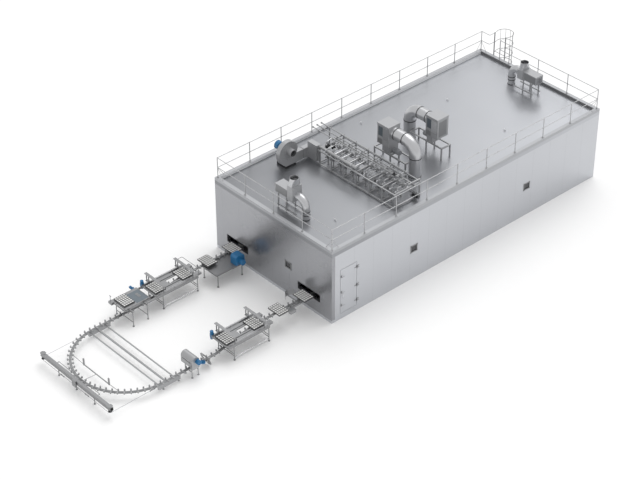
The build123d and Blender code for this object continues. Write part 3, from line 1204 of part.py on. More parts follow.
# Gear motors: upright at the ends of the belt beds, one lying by the transfer table and one
# stepped down from the end of the cleaner
MOTOR_RADIUS = 80.0
MOTOR_LENGTH = 420.0
MOTOR_DROP = 220.0
MOTOR_GEARBOX = 130.0
MOTOR_BOX_HEIGHT = 170.0
TABLE_MOTOR_RADIUS = 65.0
TABLE_MOTOR_LENGTH = 280.0
TABLE_MOTOR_SETBACK = 160.0
TABLE_MOTOR_LEVEL = 60.0
CLEANER_GEARBOX = 120.0
CLEANER_GEARBOX_LENGTH = 170.0
CLEANER_MOTOR_RUN = 330.0
CLEANER_MOTOR_FALL = 200.0

with BuildPart() as gear_motors:
    for branch in (-BRANCH_OFFSET, BRANCH_OFFSET):
        x = branch - BED_HALF - MOTOR_GEARBOX
        y = FRONT - BED_END + MOTOR_RADIUS
        low = BED_TOP - MOTOR_DROP
        axis = x + MOTOR_GEARBOX - MOTOR_RADIUS
        rod((axis, y, low), (axis, y, low + MOTOR_LENGTH), MOTOR_RADIUS)
        gearbox = (BED_TOP - MOTOR_BOX_HEIGHT / 2, BED_TOP + MOTOR_BOX_HEIGHT / 2)
        block((x, branch - BED_HALF), (y - MOTOR_RADIUS, y + MOTOR_RADIUS), gearbox)
    z = TABLE_TOP - TABLE_MOTOR_LEVEL
    y = TABLE_Y[1] - TABLE_MOTOR_SETBACK
    rod((TABLE_X[0], y, z), (TABLE_X[0] - TABLE_MOTOR_LENGTH, y, z), TABLE_MOTOR_RADIUS)
    y = CLEANER_Y[1] - CLEANER_GEARBOX
    z = HOOD_SPRING - CLEANER_GEARBOX / 3
    rod((CLEANER_X[1], y, z), (CLEANER_X[1] + CLEANER_GEARBOX_LENGTH, y, z), CLEANER_GEARBOX)
    x = CLEANER_X[1] + CLEANER_GEARBOX_LENGTH / 2
    rod((x, y, z), (x, y + CLEANER_MOTOR_RUN, z - CLEANER_MOTOR_FALL), MOTOR_RADIUS)
gear_motors.part.label = "gear_motors"
export_step(gear_motors.part, "parts/gear_motors.step")

# Pierced disc round the right branch: a middle window for the chain and a ring of round ones
DISC_RADIUS = 350.0
DISC_THICKNESS = 20.0
DISC_DISTANCE = 6200.0
DISC_LEAN = 20.0
DISC_WINDOW = 178.0
DISC_HOLES = 8
DISC_HOLE = 42.0
SADDLE_HALF = 50.0

with BuildPart() as guide_disc:
    lean = radians(DISC_LEAN)
    centre = (BRANCH_OFFSET, FRONT - DISC_DISTANCE, TRACK_LOW)
    with Locations(Plane(origin=centre, x_dir=(1, 0, 0), z_dir=(0, -cos(lean), -sin(lean)))):
        Cylinder(DISC_RADIUS, DISC_THICKNESS)
        Cylinder(DISC_WINDOW, DISC_THICKNESS, mode=Mode.SUBTRACT)
        with PolarLocations((DISC_RADIUS + DISC_WINDOW) / 2, DISC_HOLES):
            Cylinder(DISC_HOLE, DISC_THICKNESS, mode=Mode.SUBTRACT)
    saddle_reach = DISC_WINDOW + DISC_THICKNESS
    saddle = (BRANCH_OFFSET - saddle_reach, BRANCH_OFFSET + saddle_reach)
    saddle_y = (centre[1] - SADDLE_HALF, centre[1] + SADDLE_HALF)
    block(saddle, saddle_y, (TRACK_UNDERSIDE - DISC_THICKNESS, TRACK_UNDERSIDE))
guide_disc.part.label = "guide_disc"
export_step(guide_disc.part, "parts/guide_disc.step")

# Carriage of the turn: box beams on feet under both branches, tied by three cross tubes
CARRIAGE_FROM_CURVE = (860.0, 0.0)
CARRIAGE_BEAM = 100.0
CARRIAGE_BOTTOM = 110.0
CARRIAGE_OVERHANG = 80.0
CARRIAGE_ENDS = (CURVE_CENTRE - 280.0, CURVE_CENTRE + CARRIAGE_FROM_CURVE[0] + CARRIAGE_OVERHANG)
CROSS_TUBES = ((680.0, 35.0), (220.0, 50.0), (-180.0, 35.0))
CROSS_DROP = 70.0
CROSS_HEIGHT = TRACK_UNDERSIDE - CROSS_DROP

with BuildPart() as turn_carriage:
    for side in (-1, 1):
        x = side * BRANCH_OFFSET
        beam_side = (x - CARRIAGE_BEAM / 2, x + CARRIAGE_BEAM / 2)
        block(beam_side, CARRIAGE_ENDS, (CARRIAGE_BOTTOM, TRACK_UNDERSIDE))
        for distance in CARRIAGE_FROM_CURVE:
            leg(x, CURVE_CENTRE + distance, CARRIAGE_BOTTOM + LEG_INSET)
    for distance, radius in CROSS_TUBES:
        y = CURVE_CENTRE + distance
        rod((-BRANCH_OFFSET, y, CROSS_HEIGHT), (BRANCH_OFFSET, y, CROSS_HEIGHT), radius)
turn_carriage.part.label = "turn_carriage"
export_step(turn_carriage.part, "parts/turn_carriage.step")

# Inner bar of the turn between two uprights; thin struts end in pads under the curved track
BAR_FROM_CURVE = 1740.0
BAR_HALF = 925.0
BAR_HEIGHT = 260.0
BAR_POST_TOP = 600.0
BAR_POST_HALF = 35.0
BAR_RADIUS = 26.0
STRUT_RADIUS = 12.0
PAD_RADIUS = 30.0
PAD_THICKNESS = 12.0

with BuildPart() as inner_bar:
    y = CURVE_CENTRE - BAR_FROM_CURVE
    rod((-BAR_HALF, y, BAR_HEIGHT), (BAR_HALF, y, BAR_HEIGHT), BAR_RADIUS)
    for x in (-BAR_HALF, BAR_HALF):
        plate = (y - BAR_RADIUS, y + BAR_RADIUS)
        block((x - BAR_POST_HALF, x + BAR_POST_HALF), plate, (BAR_HEIGHT - BAR_POST_HALF, BAR_POST_TOP))
    for x in (-BAR_HALF, 0, BAR_HALF):
        angle = atan2(-BAR_FROM_CURVE, 2 * x)
        pad = (BRANCH_OFFSET * cos(angle), CURVE_CENTRE + BRANCH_OFFSET * sin(angle))
        rod((*pad, TRACK_UNDERSIDE - PAD_THICKNESS), (*pad, TRACK_UNDERSIDE), PAD_RADIUS)
        rod((x, y, BAR_HEIGHT), (*pad, TRACK_UNDERSIDE - PAD_THICKNESS), STRUT_RADIUS)
inner_bar.part.label = "inner_bar"
export_step(inner_bar.part, "parts/inner_bar.step")

# Take-up: a channel beam on legs, with sheaves that lead two wire ropes from the carriage to
# the pull block in the middle, and a thin rail behind the beam
BEAM_FROM_CURVE = 2830.0
BEAM_HALF = 2600.0
BEAM_BOTTOM = 400.0
BEAM_HEIGHT = 190.0
BEAM_SIZE = 150.0
BEAM_WEB = 12.0
BEAM_LEGS = (-1320.0, 0.0, 1320.0)
SHEAVE_RADIUS = 90.0
SHEAVE_WIDTH = 30.0
SHEAVE_BRACKET = 140.0
SHEAVE_SIDES = 6
ROPE_RADIUS = 8.0
ROPE_HEIGHT = 300.0
ROPE_CLEARANCE = 0.3
PULL_BLOCK = 260.0
PULL_DEPTH = 60.0
REAR_RAIL_REACH = 90.0
REAR_RAIL_HALF = 1500.0
REAR_RAIL_RADIUS = 14.0
beam_y = CURVE_CENTRE - BEAM_FROM_CURVE
beam_top = BEAM_BOTTOM + BEAM_HEIGHT
along = (beam_y - BEAM_SIZE / 2, beam_y + BEAM_SIZE / 2)
sheave_x = BRANCH_OFFSET - SHEAVE_RADIUS - ROPE_RADIUS

with BuildPart() as take_up_beam:
    block((-BEAM_HALF, BEAM_HALF), along, (BEAM_BOTTOM, beam_top))
    hollow = (BEAM_BOTTOM + BEAM_WEB, beam_top - BEAM_WEB)
    block((-BEAM_HALF, BEAM_HALF), (along[0], along[1] - BEAM_WEB), hollow, Mode.SUBTRACT)
    for x in BEAM_LEGS:
        leg(x, beam_y, BEAM_BOTTOM + BEAM_WEB)
    for side in (-1, 1):
        with BuildSketch(Plane.XY.offset(beam_top)):
            with Locations((side * sheave_x, beam_y)):
                RegularPolygon(SHEAVE_BRACKET, SHEAVE_SIDES)
        extrude(amount=BEAM_WEB)
        rod((side * sheave_x, beam_y, hollow[0]), (side * sheave_x, beam_y, beam_top), LEG_RADIUS)
    rail_y = along[1] + REAR_RAIL_REACH
    rod((-REAR_RAIL_HALF, rail_y, beam_top), (REAR_RAIL_HALF, rail_y, beam_top), REAR_RAIL_RADIUS)
    for x in (-REAR_RAIL_HALF, 0, REAR_RAIL_HALF):
        rod((x, along[1], beam_top - LEG_RADIUS), (x, rail_y, beam_top - LEG_RADIUS), REAR_RAIL_RADIUS)
        rod((x, rail_y, beam_top - 2 * LEG_RADIUS), (x, rail_y, beam_top), REAR_RAIL_RADIUS)
    pull = (along[0] - PULL_DEPTH, along[0])
    block((-PULL_BLOCK / 2, PULL_BLOCK / 2), pull, (ROPE_HEIGHT - PULL_DEPTH, beam_top))
take_up_beam.part.label = "take_up_beam"
export_step(take_up_beam.part, "parts/take_up_beam.step")

with BuildPart() as take_up_sheaves:
    for side in (-1, 1):
        x = side * sheave_x
        half = SHEAVE_WIDTH / 2
        rod((x, beam_y, ROPE_HEIGHT - half), (x, beam_y, ROPE_HEIGHT + half), SHEAVE_RADIUS - ROPE_CLEARANCE)
        rod((x, beam_y, ROPE_HEIGHT), (x, beam_y, BEAM_BOTTOM), LEG_RADIUS)
take_up_sheaves.part.label = "take_up_sheaves"
export_step(take_up_sheaves.part, "parts/take_up_sheaves.step")

with BuildPart() as take_up_ropes:
    wrap = SHEAVE_RADIUS + ROPE_RADIUS
    for side in (-1, 1):
        x = side * sheave_x
        outer = x + side * wrap
        inner = side * (PULL_BLOCK / 2 + ROPE_CLEARANCE)
        start = CARRIAGE_ENDS[0] - ROPE_CLEARANCE
        with BuildLine(Plane.XY.offset(ROPE_HEIGHT)) as rope_path:
            Line((outer, start), (outer, beam_y))
            CenterArc((x, beam_y), wrap, 0 if side > 0 else 180, -90 * side)
            Line((x, beam_y - wrap), (inner, beam_y - wrap))
        with BuildSketch(Plane(origin=(outer, start, ROPE_HEIGHT), z_dir=(0, -1, 0))):
            Circle(ROPE_RADIUS)
        sweep(path=rope_path.wire())
take_up_ropes.part.label = "take_up_ropes"
export_step(take_up_ropes.part, "parts/take_up_ropes.step")

# Guides at the right slot: a curved plate on the far side of the track, and a channel with a
# small box on the near side
CURVED_GUIDE_X = -500.0
CURVED_GUIDE_Y = FRONT - 640.0
CURVED_GUIDE_RADIUS = 300.0
CURVED_GUIDE_PLATE = 10.0
CURVED_GUIDE_HALF = 70.0
GUIDE_LEVEL = (640.0, 980.0)
CHANNEL_OFFSET = 60.0
CHANNEL_WIDTH = 90.0
CHANNEL_LEVEL = (700.0, 760.0)
CHANNEL_LENGTH = 1400.0
GUIDE_ARM = 30.0
GUIDE_BOX = (330.0, 180.0, 150.0)

with BuildPart() as slot_guide:
    guide_centre = BRANCH_OFFSET + CURVED_GUIDE_X
    inner_face = CURVED_GUIDE_RADIUS - CURVED_GUIDE_PLATE
    guide_arc = (180 - CURVED_GUIDE_HALF, 180 + CURVED_GUIDE_HALF)
    with BuildSketch(Plane.XY.offset(GUIDE_LEVEL[0])):
        with BuildLine():
            for radius in (CURVED_GUIDE_RADIUS, inner_face):
                CenterArc((guide_centre, CURVED_GUIDE_Y), radius, guide_arc[0], 2 * CURVED_GUIDE_HALF)
            for angle in guide_arc:
                along = Vector(cos(radians(angle)), sin(radians(angle)))
                centre = Vector(guide_centre, CURVED_GUIDE_Y)
                Line(centre + along * inner_face, centre + along * CURVED_GUIDE_RADIUS)
        make_face()
    extrude(amount=GUIDE_LEVEL[1] - GUIDE_LEVEL[0])
    arm_level = (CHANNEL_LEVEL[0] - GUIDE_ARM, CHANNEL_LEVEL[0])
    arm = (guide_centre - CURVED_GUIDE_RADIUS + CURVED_GUIDE_PLATE / 2, BRANCH_OFFSET + CHANNEL_OFFSET)
    block(arm, (CURVED_GUIDE_Y - GUIDE_ARM, CURVED_GUIDE_Y + GUIDE_ARM), arm_level)
    channel = (BRANCH_OFFSET + CHANNEL_OFFSET, BRANCH_OFFSET + CHANNEL_OFFSET + CHANNEL_WIDTH)
    block(channel, (FRONT - CHANNEL_LENGTH, FRONT), (arm_level[0], CHANNEL_LEVEL[1]))
    box_x = (channel[1], channel[1] + GUIDE_BOX[1])
    box_y = (FRONT - CHANNEL_LENGTH, FRONT - CHANNEL_LENGTH + GUIDE_BOX[0])
    block(box_x, box_y, (CHANNEL_LEVEL[0] - GUIDE_BOX[2], CHANNEL_LEVEL[0]))
slot_guide.part.label = "slot_guide"
export_step(slot_guide.part, "parts/slot_guide.step")

# Lifting lugs on the deck
LUG_PLACES = (
    (-3110.0, FRONT + 8590.0),
    (-1760.0, FRONT + 13330.0),
    (2160.0, FRONT + 13360.0),
    (2220.0, FRONT + 1940.0),
)
LUG_LENGTH = 130.0
LUG_THICKNESS = 20.0
LUG_HEIGHT = 95.0
LUG_HOLE = 25.0

with BuildPart() as roof_lugs:
    with Locations(*[(x, y, DECK + LUG_HEIGHT / 2) for x, y in LUG_PLACES]):
        Box(LUG_LENGTH, LUG_THICKNESS, LUG_HEIGHT)
        Cylinder(LUG_HOLE, LUG_THICKNESS, rotation=(90, 0, 0), mode=Mode.SUBTRACT)
roof_lugs.part.label = "roof_lugs"
export_step(roof_lugs.part, "parts/roof_lugs.step")
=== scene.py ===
"""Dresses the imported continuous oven: steel finishes, pans of buns, motor ribs, pipe fittings,
bolts, chain links, the studio floor, lights and camera."""

import json
import math

import bpy
from bpy.props import FloatProperty, FloatVectorProperty, IntProperty, PointerProperty
from mathutils import Matrix, Vector


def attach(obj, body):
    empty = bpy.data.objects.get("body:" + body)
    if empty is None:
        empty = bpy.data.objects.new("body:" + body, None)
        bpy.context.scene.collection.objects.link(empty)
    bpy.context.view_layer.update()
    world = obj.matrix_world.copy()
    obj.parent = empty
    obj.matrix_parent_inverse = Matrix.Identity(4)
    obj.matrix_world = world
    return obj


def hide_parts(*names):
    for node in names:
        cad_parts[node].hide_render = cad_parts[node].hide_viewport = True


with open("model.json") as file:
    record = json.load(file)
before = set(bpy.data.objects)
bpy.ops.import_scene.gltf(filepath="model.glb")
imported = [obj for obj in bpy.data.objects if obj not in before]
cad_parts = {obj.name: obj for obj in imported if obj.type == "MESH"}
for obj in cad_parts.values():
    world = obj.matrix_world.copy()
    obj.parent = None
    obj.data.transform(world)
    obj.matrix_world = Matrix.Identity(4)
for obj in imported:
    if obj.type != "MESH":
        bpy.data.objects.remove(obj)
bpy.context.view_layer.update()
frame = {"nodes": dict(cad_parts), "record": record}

bl_info = {
    "name": "Continuous oven finishes",
    "version": (1, 0, 0),
    "blender": (4, 5, 0),
    "location": "3D View > Sidebar > Oven",
    "description": "Adds finishes, fittings and a studio to the packed continuous oven",
    "category": "Object",
}

# Camera of the photograph, in metres, with its focal length in pixels of a 640 pixel frame
PHOTO_WIDTH = 640
SENSOR_WIDTH = 36.0
FOCAL_PIXELS = 1875.42
CAMERA_PLACE = (54.1036, -55.2483, 53.2734)
CAMERA_RIGHT = (0.672849, 0.739779, -0.00083)
CAMERA_VIEW = (-0.602564, 0.547397, -0.580752)
CAMERA_REACH = 1000.0
KEY_LIGHT_FROM = (-0.22, 0.58, 1.0)
FLOOR_LEVEL = -0.001

X_AXIS, Y_AXIS, Z_AXIS = (1.0, 0.0, 0.0), (0.0, 1.0, 0.0), (0.0, 0.0, 1.0)
DOWN_X, DOWN_Y = (-1.0, 0.0, 0.0), (0.0, -1.0, 0.0)
MIDDLE, UNIT = (0.0, 0.0, 0.0), (1.0, 1.0, 1.0)
QUARTER_TURN = math.pi / 2
SIDES = (-1, 1)

# House, in metres, as the solids have it
FRONT = -9.11
SIDE_WALL = 4.11
DECK = 3.92
CURB_TOP = 4.07
CURB_INSIDE_X = 4.08
CURB_INSIDE_Y = 9.08
POST_X = 4.0
POST_Y = 9.0
POST_PITCH = 2.0

# Conveyor
BRANCHES = (-2.55, 2.55)
TRACK_HIGH = 0.83
TRACK_LOW = 0.4
TRACK_DEPTH = 0.064
CHAIN_TOP = 0.006
TURN_CENTRE = FRONT - 8.62
TAKE_UP_Y = TURN_CENTRE - 2.83
ROPE_HEIGHT = 0.3
BED_TOP = 0.888
BEAM_TOP = 0.91
BED_ENDS = (FRONT - 5.35, FRONT - 2.9)
STATION_LEG = 0.56
LOW_BAR_HEIGHT = 0.15
PAN_DISTANCES = (0.34, 1.87, 3.38, 5.0)
PAN_FLOOR = 0.03
TABLE_PAN = (-2.72, FRONT - 6.68, 0.9)

# Blower and burner rack
BLOWER_Y = FRONT + 3.33
BLOWER_Z = DECK + 0.92
RACK_LEFT = -1.8
RACK_BAYS = 6
RACK_PITCH = 5.2 / RACK_BAYS
BURNER_X = [
    RACK_LEFT + RACK_PITCH * (bay + share) for bay in range(RACK_BAYS) for share in (0.32, 0.74)]
BURNER_Y = FRONT + 4.95
BURNER_TOP = DECK + 0.895
HEADER_Y = FRONT + 5.75
MANIFOLD_Y = FRONT + 4.68
MANIFOLD_Z = DECK + 0.925
MANIFOLD_END = 0.75
GAS_Y = (FRONT + 5.48, FRONT + 5.76, FRONT + 6.04)
GAS_Z = DECK + 1.058
GAS_DROP = DECK + 0.7
PILOT_LEVEL = DECK + 0.62
NOZZLE_LEVEL = DECK + 0.25
CROSS_PIPES_X = (-1.39, -0.81, -0.33, 0.19, 0.6)
RELIEF_X = RACK_LEFT - 0.06
DRAINS_X = [3.3 + 0.12 * step for step in range(3)]
DRAIN_Y = FRONT + 5.9
GAS_SIDE = 0.1
FEED_Y = BURNER_Y + 0.16
HEADER_TAP = DECK + 0.88

# Fans: where each duct leaves the deck, its fan's side, and the top of a vent's stack
EXHAUSTS = ((2.09, FRONT + 7.2, -1.0), (-0.51, FRONT + 9.4, 1.0))
EXHAUST_AXIS = DECK + 1.8
EXHAUST_REACH = 1.44
VENTS = (
    (1.22, FRONT + 1.04, -1.0, DECK + 1.88),
    (-0.74, FRONT + 16.96, 1.0, DECK + 1.59),
)
VENT_AXIS = DECK + 1.0
VENT_BOX_Z = DECK + 0.975

# Fan housings: from the duct to their middle and end, half their depth, and their panels' sizes
EXHAUST_BOX_X = 1.83
EXHAUST_BOX_SIDE = 0.372
VENT_BOX_X = 1.415
VENT_BOX_END = 1.852
VENT_BOX_SIDE = 0.262
LOUVRE_SIZE = (0.36, 0.66, 1.0)
VENT_PANEL_SIZE = (0.74, 0.36, 1.0)

# Motors: the near end of each, the way it points, its second axis and its radius and length
BLUE_MOTORS = (
    *(((x - 0.67, FRONT - 5.27, 0.70), Z_AXIS, X_AXIS, (0.08, 0.08, 0.36)) for x in BRANCHES),
    ((-3.215, FRONT - 5.78, 0.84), DOWN_X, Y_AXIS, (0.065, 0.065, 0.25)),
    ((2.965, FRONT - 6.80, 0.793), (0.0, 0.855, -0.518), X_AXIS, (0.08, 0.08, 0.21)),
    ((-1.452, FRONT - 0.75, 0.96), X_AXIS, Y_AXIS, (0.135, 0.135, 0.22)),
)
GREY_MOTORS = [
    ((x + side * EXHAUST_REACH, y, DECK + 0.83), (-side, 0.0, 0.0), Y_AXIS, (0.13, 0.13, 0.4))
    for x, y, side in EXHAUSTS]
BLOWER_COWL = ((-3.14, BLOWER_Y, BLOWER_Z), DOWN_X, Y_AXIS, (0.215, 0.215, 0.24))

# Door: the screws' face, the places of its straps and hinges, and its pull
DOOR_SCREW_X = 4.12
STRAP_Y = -7.66
HINGE_Y = -7.51
STRAP_HEIGHTS = (0.62, 1.47, 2.5)
PULL_X = 4.165
PULL_Y = -8.43
PULL_HEIGHTS = (1.15, 1.4)


# Node trees

# What each mark keeps: the way its shape points, its second axis and its size
MARK_VECTORS = ("axis", "across", "size")


def calculation(operation, swapped=False):
    """A method that adds a Math node to a socket's tree."""
    def method(socket, *other):
        values = (*other, socket) if swapped else (socket, *other)
        return socket.tree.add("ShaderNodeMath", dict(enumerate(values)), operation=operation)
    return method


class Socket:
    """One output socket. Arithmetic on it adds Math nodes to its tree."""

    def __init__(self, tree, socket):
        self.tree = tree
        self.socket = socket

    __add__ = calculation("ADD")
    __radd__ = calculation("ADD", swapped=True)
    __sub__ = calculation("SUBTRACT")
    __rsub__ = calculation("SUBTRACT", swapped=True)
    __mul__ = calculation("MULTIPLY")
    __truediv__ = calculation("DIVIDE")
    __rtruediv__ = calculation("DIVIDE", swapped=True)
    __mod__ = calculation("FLOORED_MODULO")
    __lt__ = calculation("LESS_THAN")
    __gt__ = calculation("GREATER_THAN")
    __abs__ = calculation("ABSOLUTE")


class Nodes:
    """Adds nodes to a tree and joins them: the one way that every tree here is built."""

    def __init__(self, tree):
        self.tree = tree
        self.tree.nodes.clear()

    def add(self, kind, inputs=None, output=0, **settings):
        """A node with its settings, and its inputs by name or number; returns one output."""
        node = self.tree.nodes.new(kind)
        for name, value in settings.items():
            setattr(node, name, value)
        for name, value in (inputs or {}).items():
            if isinstance(value, Socket):
                self.tree.links.new(value.socket, node.inputs[name])
            else:
                node.inputs[name].default_value = value
        return Socket(self, node.outputs[output]) if len(node.outputs) else node

    def put(self, kind, **inputs):
        """A node, with its inputs' names in words joined by underscores."""
        return self.add(kind, {name.replace("_", " "): value for name, value in inputs.items()})

    def mix(self, share, *colours):
        """A blend of two colours."""
        first, second = (
            colour if isinstance(colour, Socket) else (*colour, 1.0) for colour in colours)
        inputs = {0: share, 6: first, 7: second}
        return self.add("ShaderNodeMix", inputs, 2, data_type="RGBA", clamp_factor=True)


class Finish(Nodes):
    """A material with one Principled surface that reads Object coordinates."""

    def __init__(self, name):
        self.material = bpy.data.materials.new(name)
        self.material.use_nodes = True
        super().__init__(self.material.node_tree)
        self.place = self.add("ShaderNodeTexCoord", output="Object")

    def surface(self, **inputs):
        """The finished material, from its shader's inputs."""
        shader = self.put("ShaderNodeBsdfPrincipled", **inputs)
        self.put("ShaderNodeOutputMaterial", Surface=shader)
        return self.material

    def stretched(self, scale):
        """Object coordinates scaled along each axis."""
        return self.put("ShaderNodeMapping", Vector=self.place, Scale=scale)

    def along(self, axis):
        """One of the Object coordinates, in metres."""
        return self.add("ShaderNodeSeparateXYZ", {"Vector": self.place}, axis)

    def noise(self, scale, detail, vector=None, roughness=0.5):
        """Noise from 0 to 1."""
        return self.put("ShaderNodeTexNoise", Vector=vector or self.place, Scale=scale,
                        Detail=detail, Roughness=roughness)

    def ribs(self, distance, per_metre):
        """Ridges from 0 to 1 that repeat along a distance."""
        return abs((distance * per_metre) % 1.0 - 0.5) * 2.0

    def bump(self, height, distance, strength):
        """A normal from a height."""
        return self.put("ShaderNodeBump", Height=height, Distance=distance, Strength=strength)


class PieceTree(Nodes):
    """A Geometry Nodes tree with named inputs, which ends in real geometry with a material."""

    def __init__(self, name, inputs):
        tree = bpy.data.node_groups.new(name, "GeometryNodeTree")
        super().__init__(tree)
        geometry = "NodeSocketGeometry"
        tree.interface.new_socket("Geometry", in_out="OUTPUT", socket_type=geometry)
        tree.interface.new_socket("Marks", in_out="INPUT", socket_type=geometry)
        self.names = {}
        for label, value in inputs.items():
            kind = "NodeSocketInt" if isinstance(value, int) else "NodeSocketFloat"
            socket = tree.interface.new_socket(label, in_out="INPUT", socket_type=kind)
            socket.default_value = value
            self.names[label] = socket.identifier
        self.group_input = tree.nodes.new("NodeGroupInput")

    def __getitem__(self, label):
        """One of the tree's named inputs."""
        return Socket(self, self.group_input.outputs[label])

    def attribute(self, name):
        """A vector kept with each mark."""
        kind = "GeometryNodeInputNamedAttribute"
        return self.add(kind, {"Name": name}, data_type="FLOAT_VECTOR")

    def vector(self, x=0.0, y=0.0, z=0.0):
        """A vector of three values."""
        return self.put("ShaderNodeCombineXYZ", X=x, Y=y, Z=z)

    def cube(self, x, y, z, place=MIDDLE, turn=MIDDLE):
        """A box about its middle, turned and moved."""
        box = self.put("GeometryNodeMeshCube", Size=self.vector(x, y, z))
        return self.moved(box, place, turn)

    def drum(self, sides, radius, depth, place=MIDDLE, turn=MIDDLE):
        """A cylinder along Z about its middle, turned and moved."""
        drum = self.put("GeometryNodeMeshCylinder", Vertices=sides, Radius=radius, Depth=depth)
        return self.moved(drum, place, turn)

    def circle(self, sides, radius):
        """A round line about Z."""
        return self.put("GeometryNodeCurvePrimitiveCircle", Resolution=sides, Radius=radius)

    def grid(self, columns, rows, width, length):
        """Points in rows and columns about the middle."""
        return self.put("GeometryNodeMeshGrid", Size_X=width, Size_Y=length,
                        Vertices_X=columns, Vertices_Y=rows)

    def moved(self, shape, place=MIDDLE, turn=MIDDLE, scale=UNIT):
        """A shape scaled, turned and moved."""
        return self.put("GeometryNodeTransform", Geometry=shape, Translation=place,
                        Rotation=turn, Scale=scale)

    def both(self, shape, place):
        """The shape at a place and at the opposite one."""
        opposite = tuple(-distance for distance in place)
        return self.joined(self.moved(shape, opposite), self.moved(shape, place))

    def joined(self, *shapes):
        """Several shapes as one."""
        node = self.tree.nodes.new("GeometryNodeJoinGeometry")
        for shape in shapes:
            self.tree.links.new(shape.socket, node.inputs[0])
        return Socket(self, node.outputs[0])

    def turned(self, first_axis, first, second_axis, second):
        """A turn that points two of a shape's axes along two directions."""
        ways = {"Primary Axis": first, "Secondary Axis": second}
        kind = "FunctionNodeAxesToRotation"
        return self.add(kind, ways, primary_axis=first_axis, secondary_axis=second_axis)

    def copies(self, shape, points, turn=MIDDLE, scale=UNIT):
        """The shape on every point."""
        return self.put("GeometryNodeInstanceOnPoints", Points=points, Instance=shape,
                        Rotation=turn, Scale=scale)

    def ring(self, shape, count, radius):
        """The shape round a circle, its X outwards."""
        points = self.put("GeometryNodeMeshCircle", Vertices=count, Radius=radius)
        outward = self.put("GeometryNodeInputPosition")
        return self.copies(shape, points, self.turned("Z", Z_AXIS, "X", outward))

    def row(self, shape, count, start, step):
        """The shape along a line."""
        inputs = {"Count": count, "Start Location": start, "Offset": step}
        return self.copies(shape, self.add("GeometryNodeMeshLine", inputs, mode="OFFSET"))

    def swept(self, curve, section, caps=False):
        """A section drawn along a curve."""
        kind = "GeometryNodeCurveToMesh"
        return self.put(kind, Curve=curve, Profile_Curve=section, Fill_Caps=caps)

    def hoop(self, radius, wire, sides, wire_sides=6):
        """A round wire bent to a circle about Z."""
        return self.swept(self.circle(sides, radius), self.circle(wire_sides, wire))

    def runs(self, steps, limited=True):
        """The routes as curves, with every corner rounded to the tree's Bend."""
        curve = self.put("GeometryNodeMeshToCurve", Mesh=self["Marks"])
        inputs = {"Curve": curve, "Radius": self["Bend"], "Limit Radius": limited, "Count": steps}
        return self.add("GeometryNodeFilletCurve", inputs, mode="POLY")

    def end(self, geometry, finish, smooth=False):
        """Realizes instances, sets the material and closes the tree."""
        real = self.put("GeometryNodeRealizeInstances", Geometry=geometry)
        if smooth:
            few_corners = self.put("GeometryNodeInputMeshFaceNeighbors") < 5.0
            real = self.put("GeometryNodeSetShadeSmooth", Geometry=real, Selection=few_corners)
        dressed = self.put("GeometryNodeSetMaterial", Geometry=real, Material=finish_of(finish))
        self.put("NodeGroupOutput", Geometry=dressed)

    def on_marks(self, finish, *shapes, smooth=False):
        """Closes the tree with the shapes on each mark, turned and sized as the mark says."""
        turn = self.turned("Z", self.attribute("axis"), "X", self.attribute("across"))
        shape, size = self.joined(*shapes), self.attribute("size")
        self.end(self.copies(shape, self["Marks"], turn, size), finish, smooth)

    def grow(self, name, mesh, values=None, body="plant", slot=None):
        """The tree's result on a mesh of marks or lines, as a plain piece that rides on a body."""
        holder = bpy.data.objects.new(name + "_marks", mesh)
        bpy.context.scene.collection.objects.link(holder)
        modifier = holder.modifiers.new("tree", "NODES")
        modifier.node_group = self.tree
        for label, value in (values or {}).items():
            modifier[self.names[label]] = value
        bpy.context.view_layer.update()
        shape = holder.evaluated_get(bpy.context.evaluated_depsgraph_get())
        result = bpy.data.meshes.new_from_object(shape)
        bpy.data.objects.remove(holder)
        if not result.polygons:
            raise RuntimeError(name + " came out empty")
        for label in MARK_VECTORS:
            if label in result.attributes:
                result.attributes.remove(result.attributes[label])
        piece = bpy.data.objects.new(name, result)
        bpy.context.scene.collection.objects.link(piece)
        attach(piece, body)
        return piece

    def place(self, name, places, values=None, **options):
        """A piece with the tree's shape on every place."""
        return self.grow(name, marks(name, places), values, **options)

    def route(self, name, routes, values=None, **options):
        """A piece with the tree's shape along every route."""
        return self.grow(name, lines(name, routes), values, **options)


def marks(name, places):
    """Loose points; a place may bring its own axis, second axis and size after it."""
    usual = (Z_AXIS, X_AXIS, UNIT)
    full = [tuple(place) + usual[len(place) - 1:] for place in places]
    mesh = bpy.data.meshes.new(name + "_marks")
    mesh.from_pydata([place[0] for place in full], [], [])
    for number, label in enumerate(MARK_VECTORS, 1):
        layer = mesh.attributes.new(label, "FLOAT_VECTOR", "POINT")
        layer.data.foreach_set("vector", [float(part) for place in full for part in place[number]])
    return mesh


def lines(name, routes):
    """Runs of edges through each route's points."""
    points, edges = [], []
    for route in routes:
        first = len(points)
        points.extend(route)
        edges.extend((number, number + 1) for number in range(first, len(points) - 1))
    mesh = bpy.data.meshes.new(name + "_lines")
    mesh.from_pydata(points, edges, [])
    return mesh


# Finishes

# Panel width in metres and half a joint's share of it; peel, ribs and strands to the metre
PANEL_PITCH = 1.2
JOINT_HALF = 0.0022
JOINT_COLOUR = (0.1, 0.1, 0.105)
ORANGE_PEEL = 90.0
BELT_RIBS = 50.0
ROPE_STRANDS = 40.0


def shade(colour, share):
    """A colour made darker."""
    return tuple(channel * share for channel in colour)


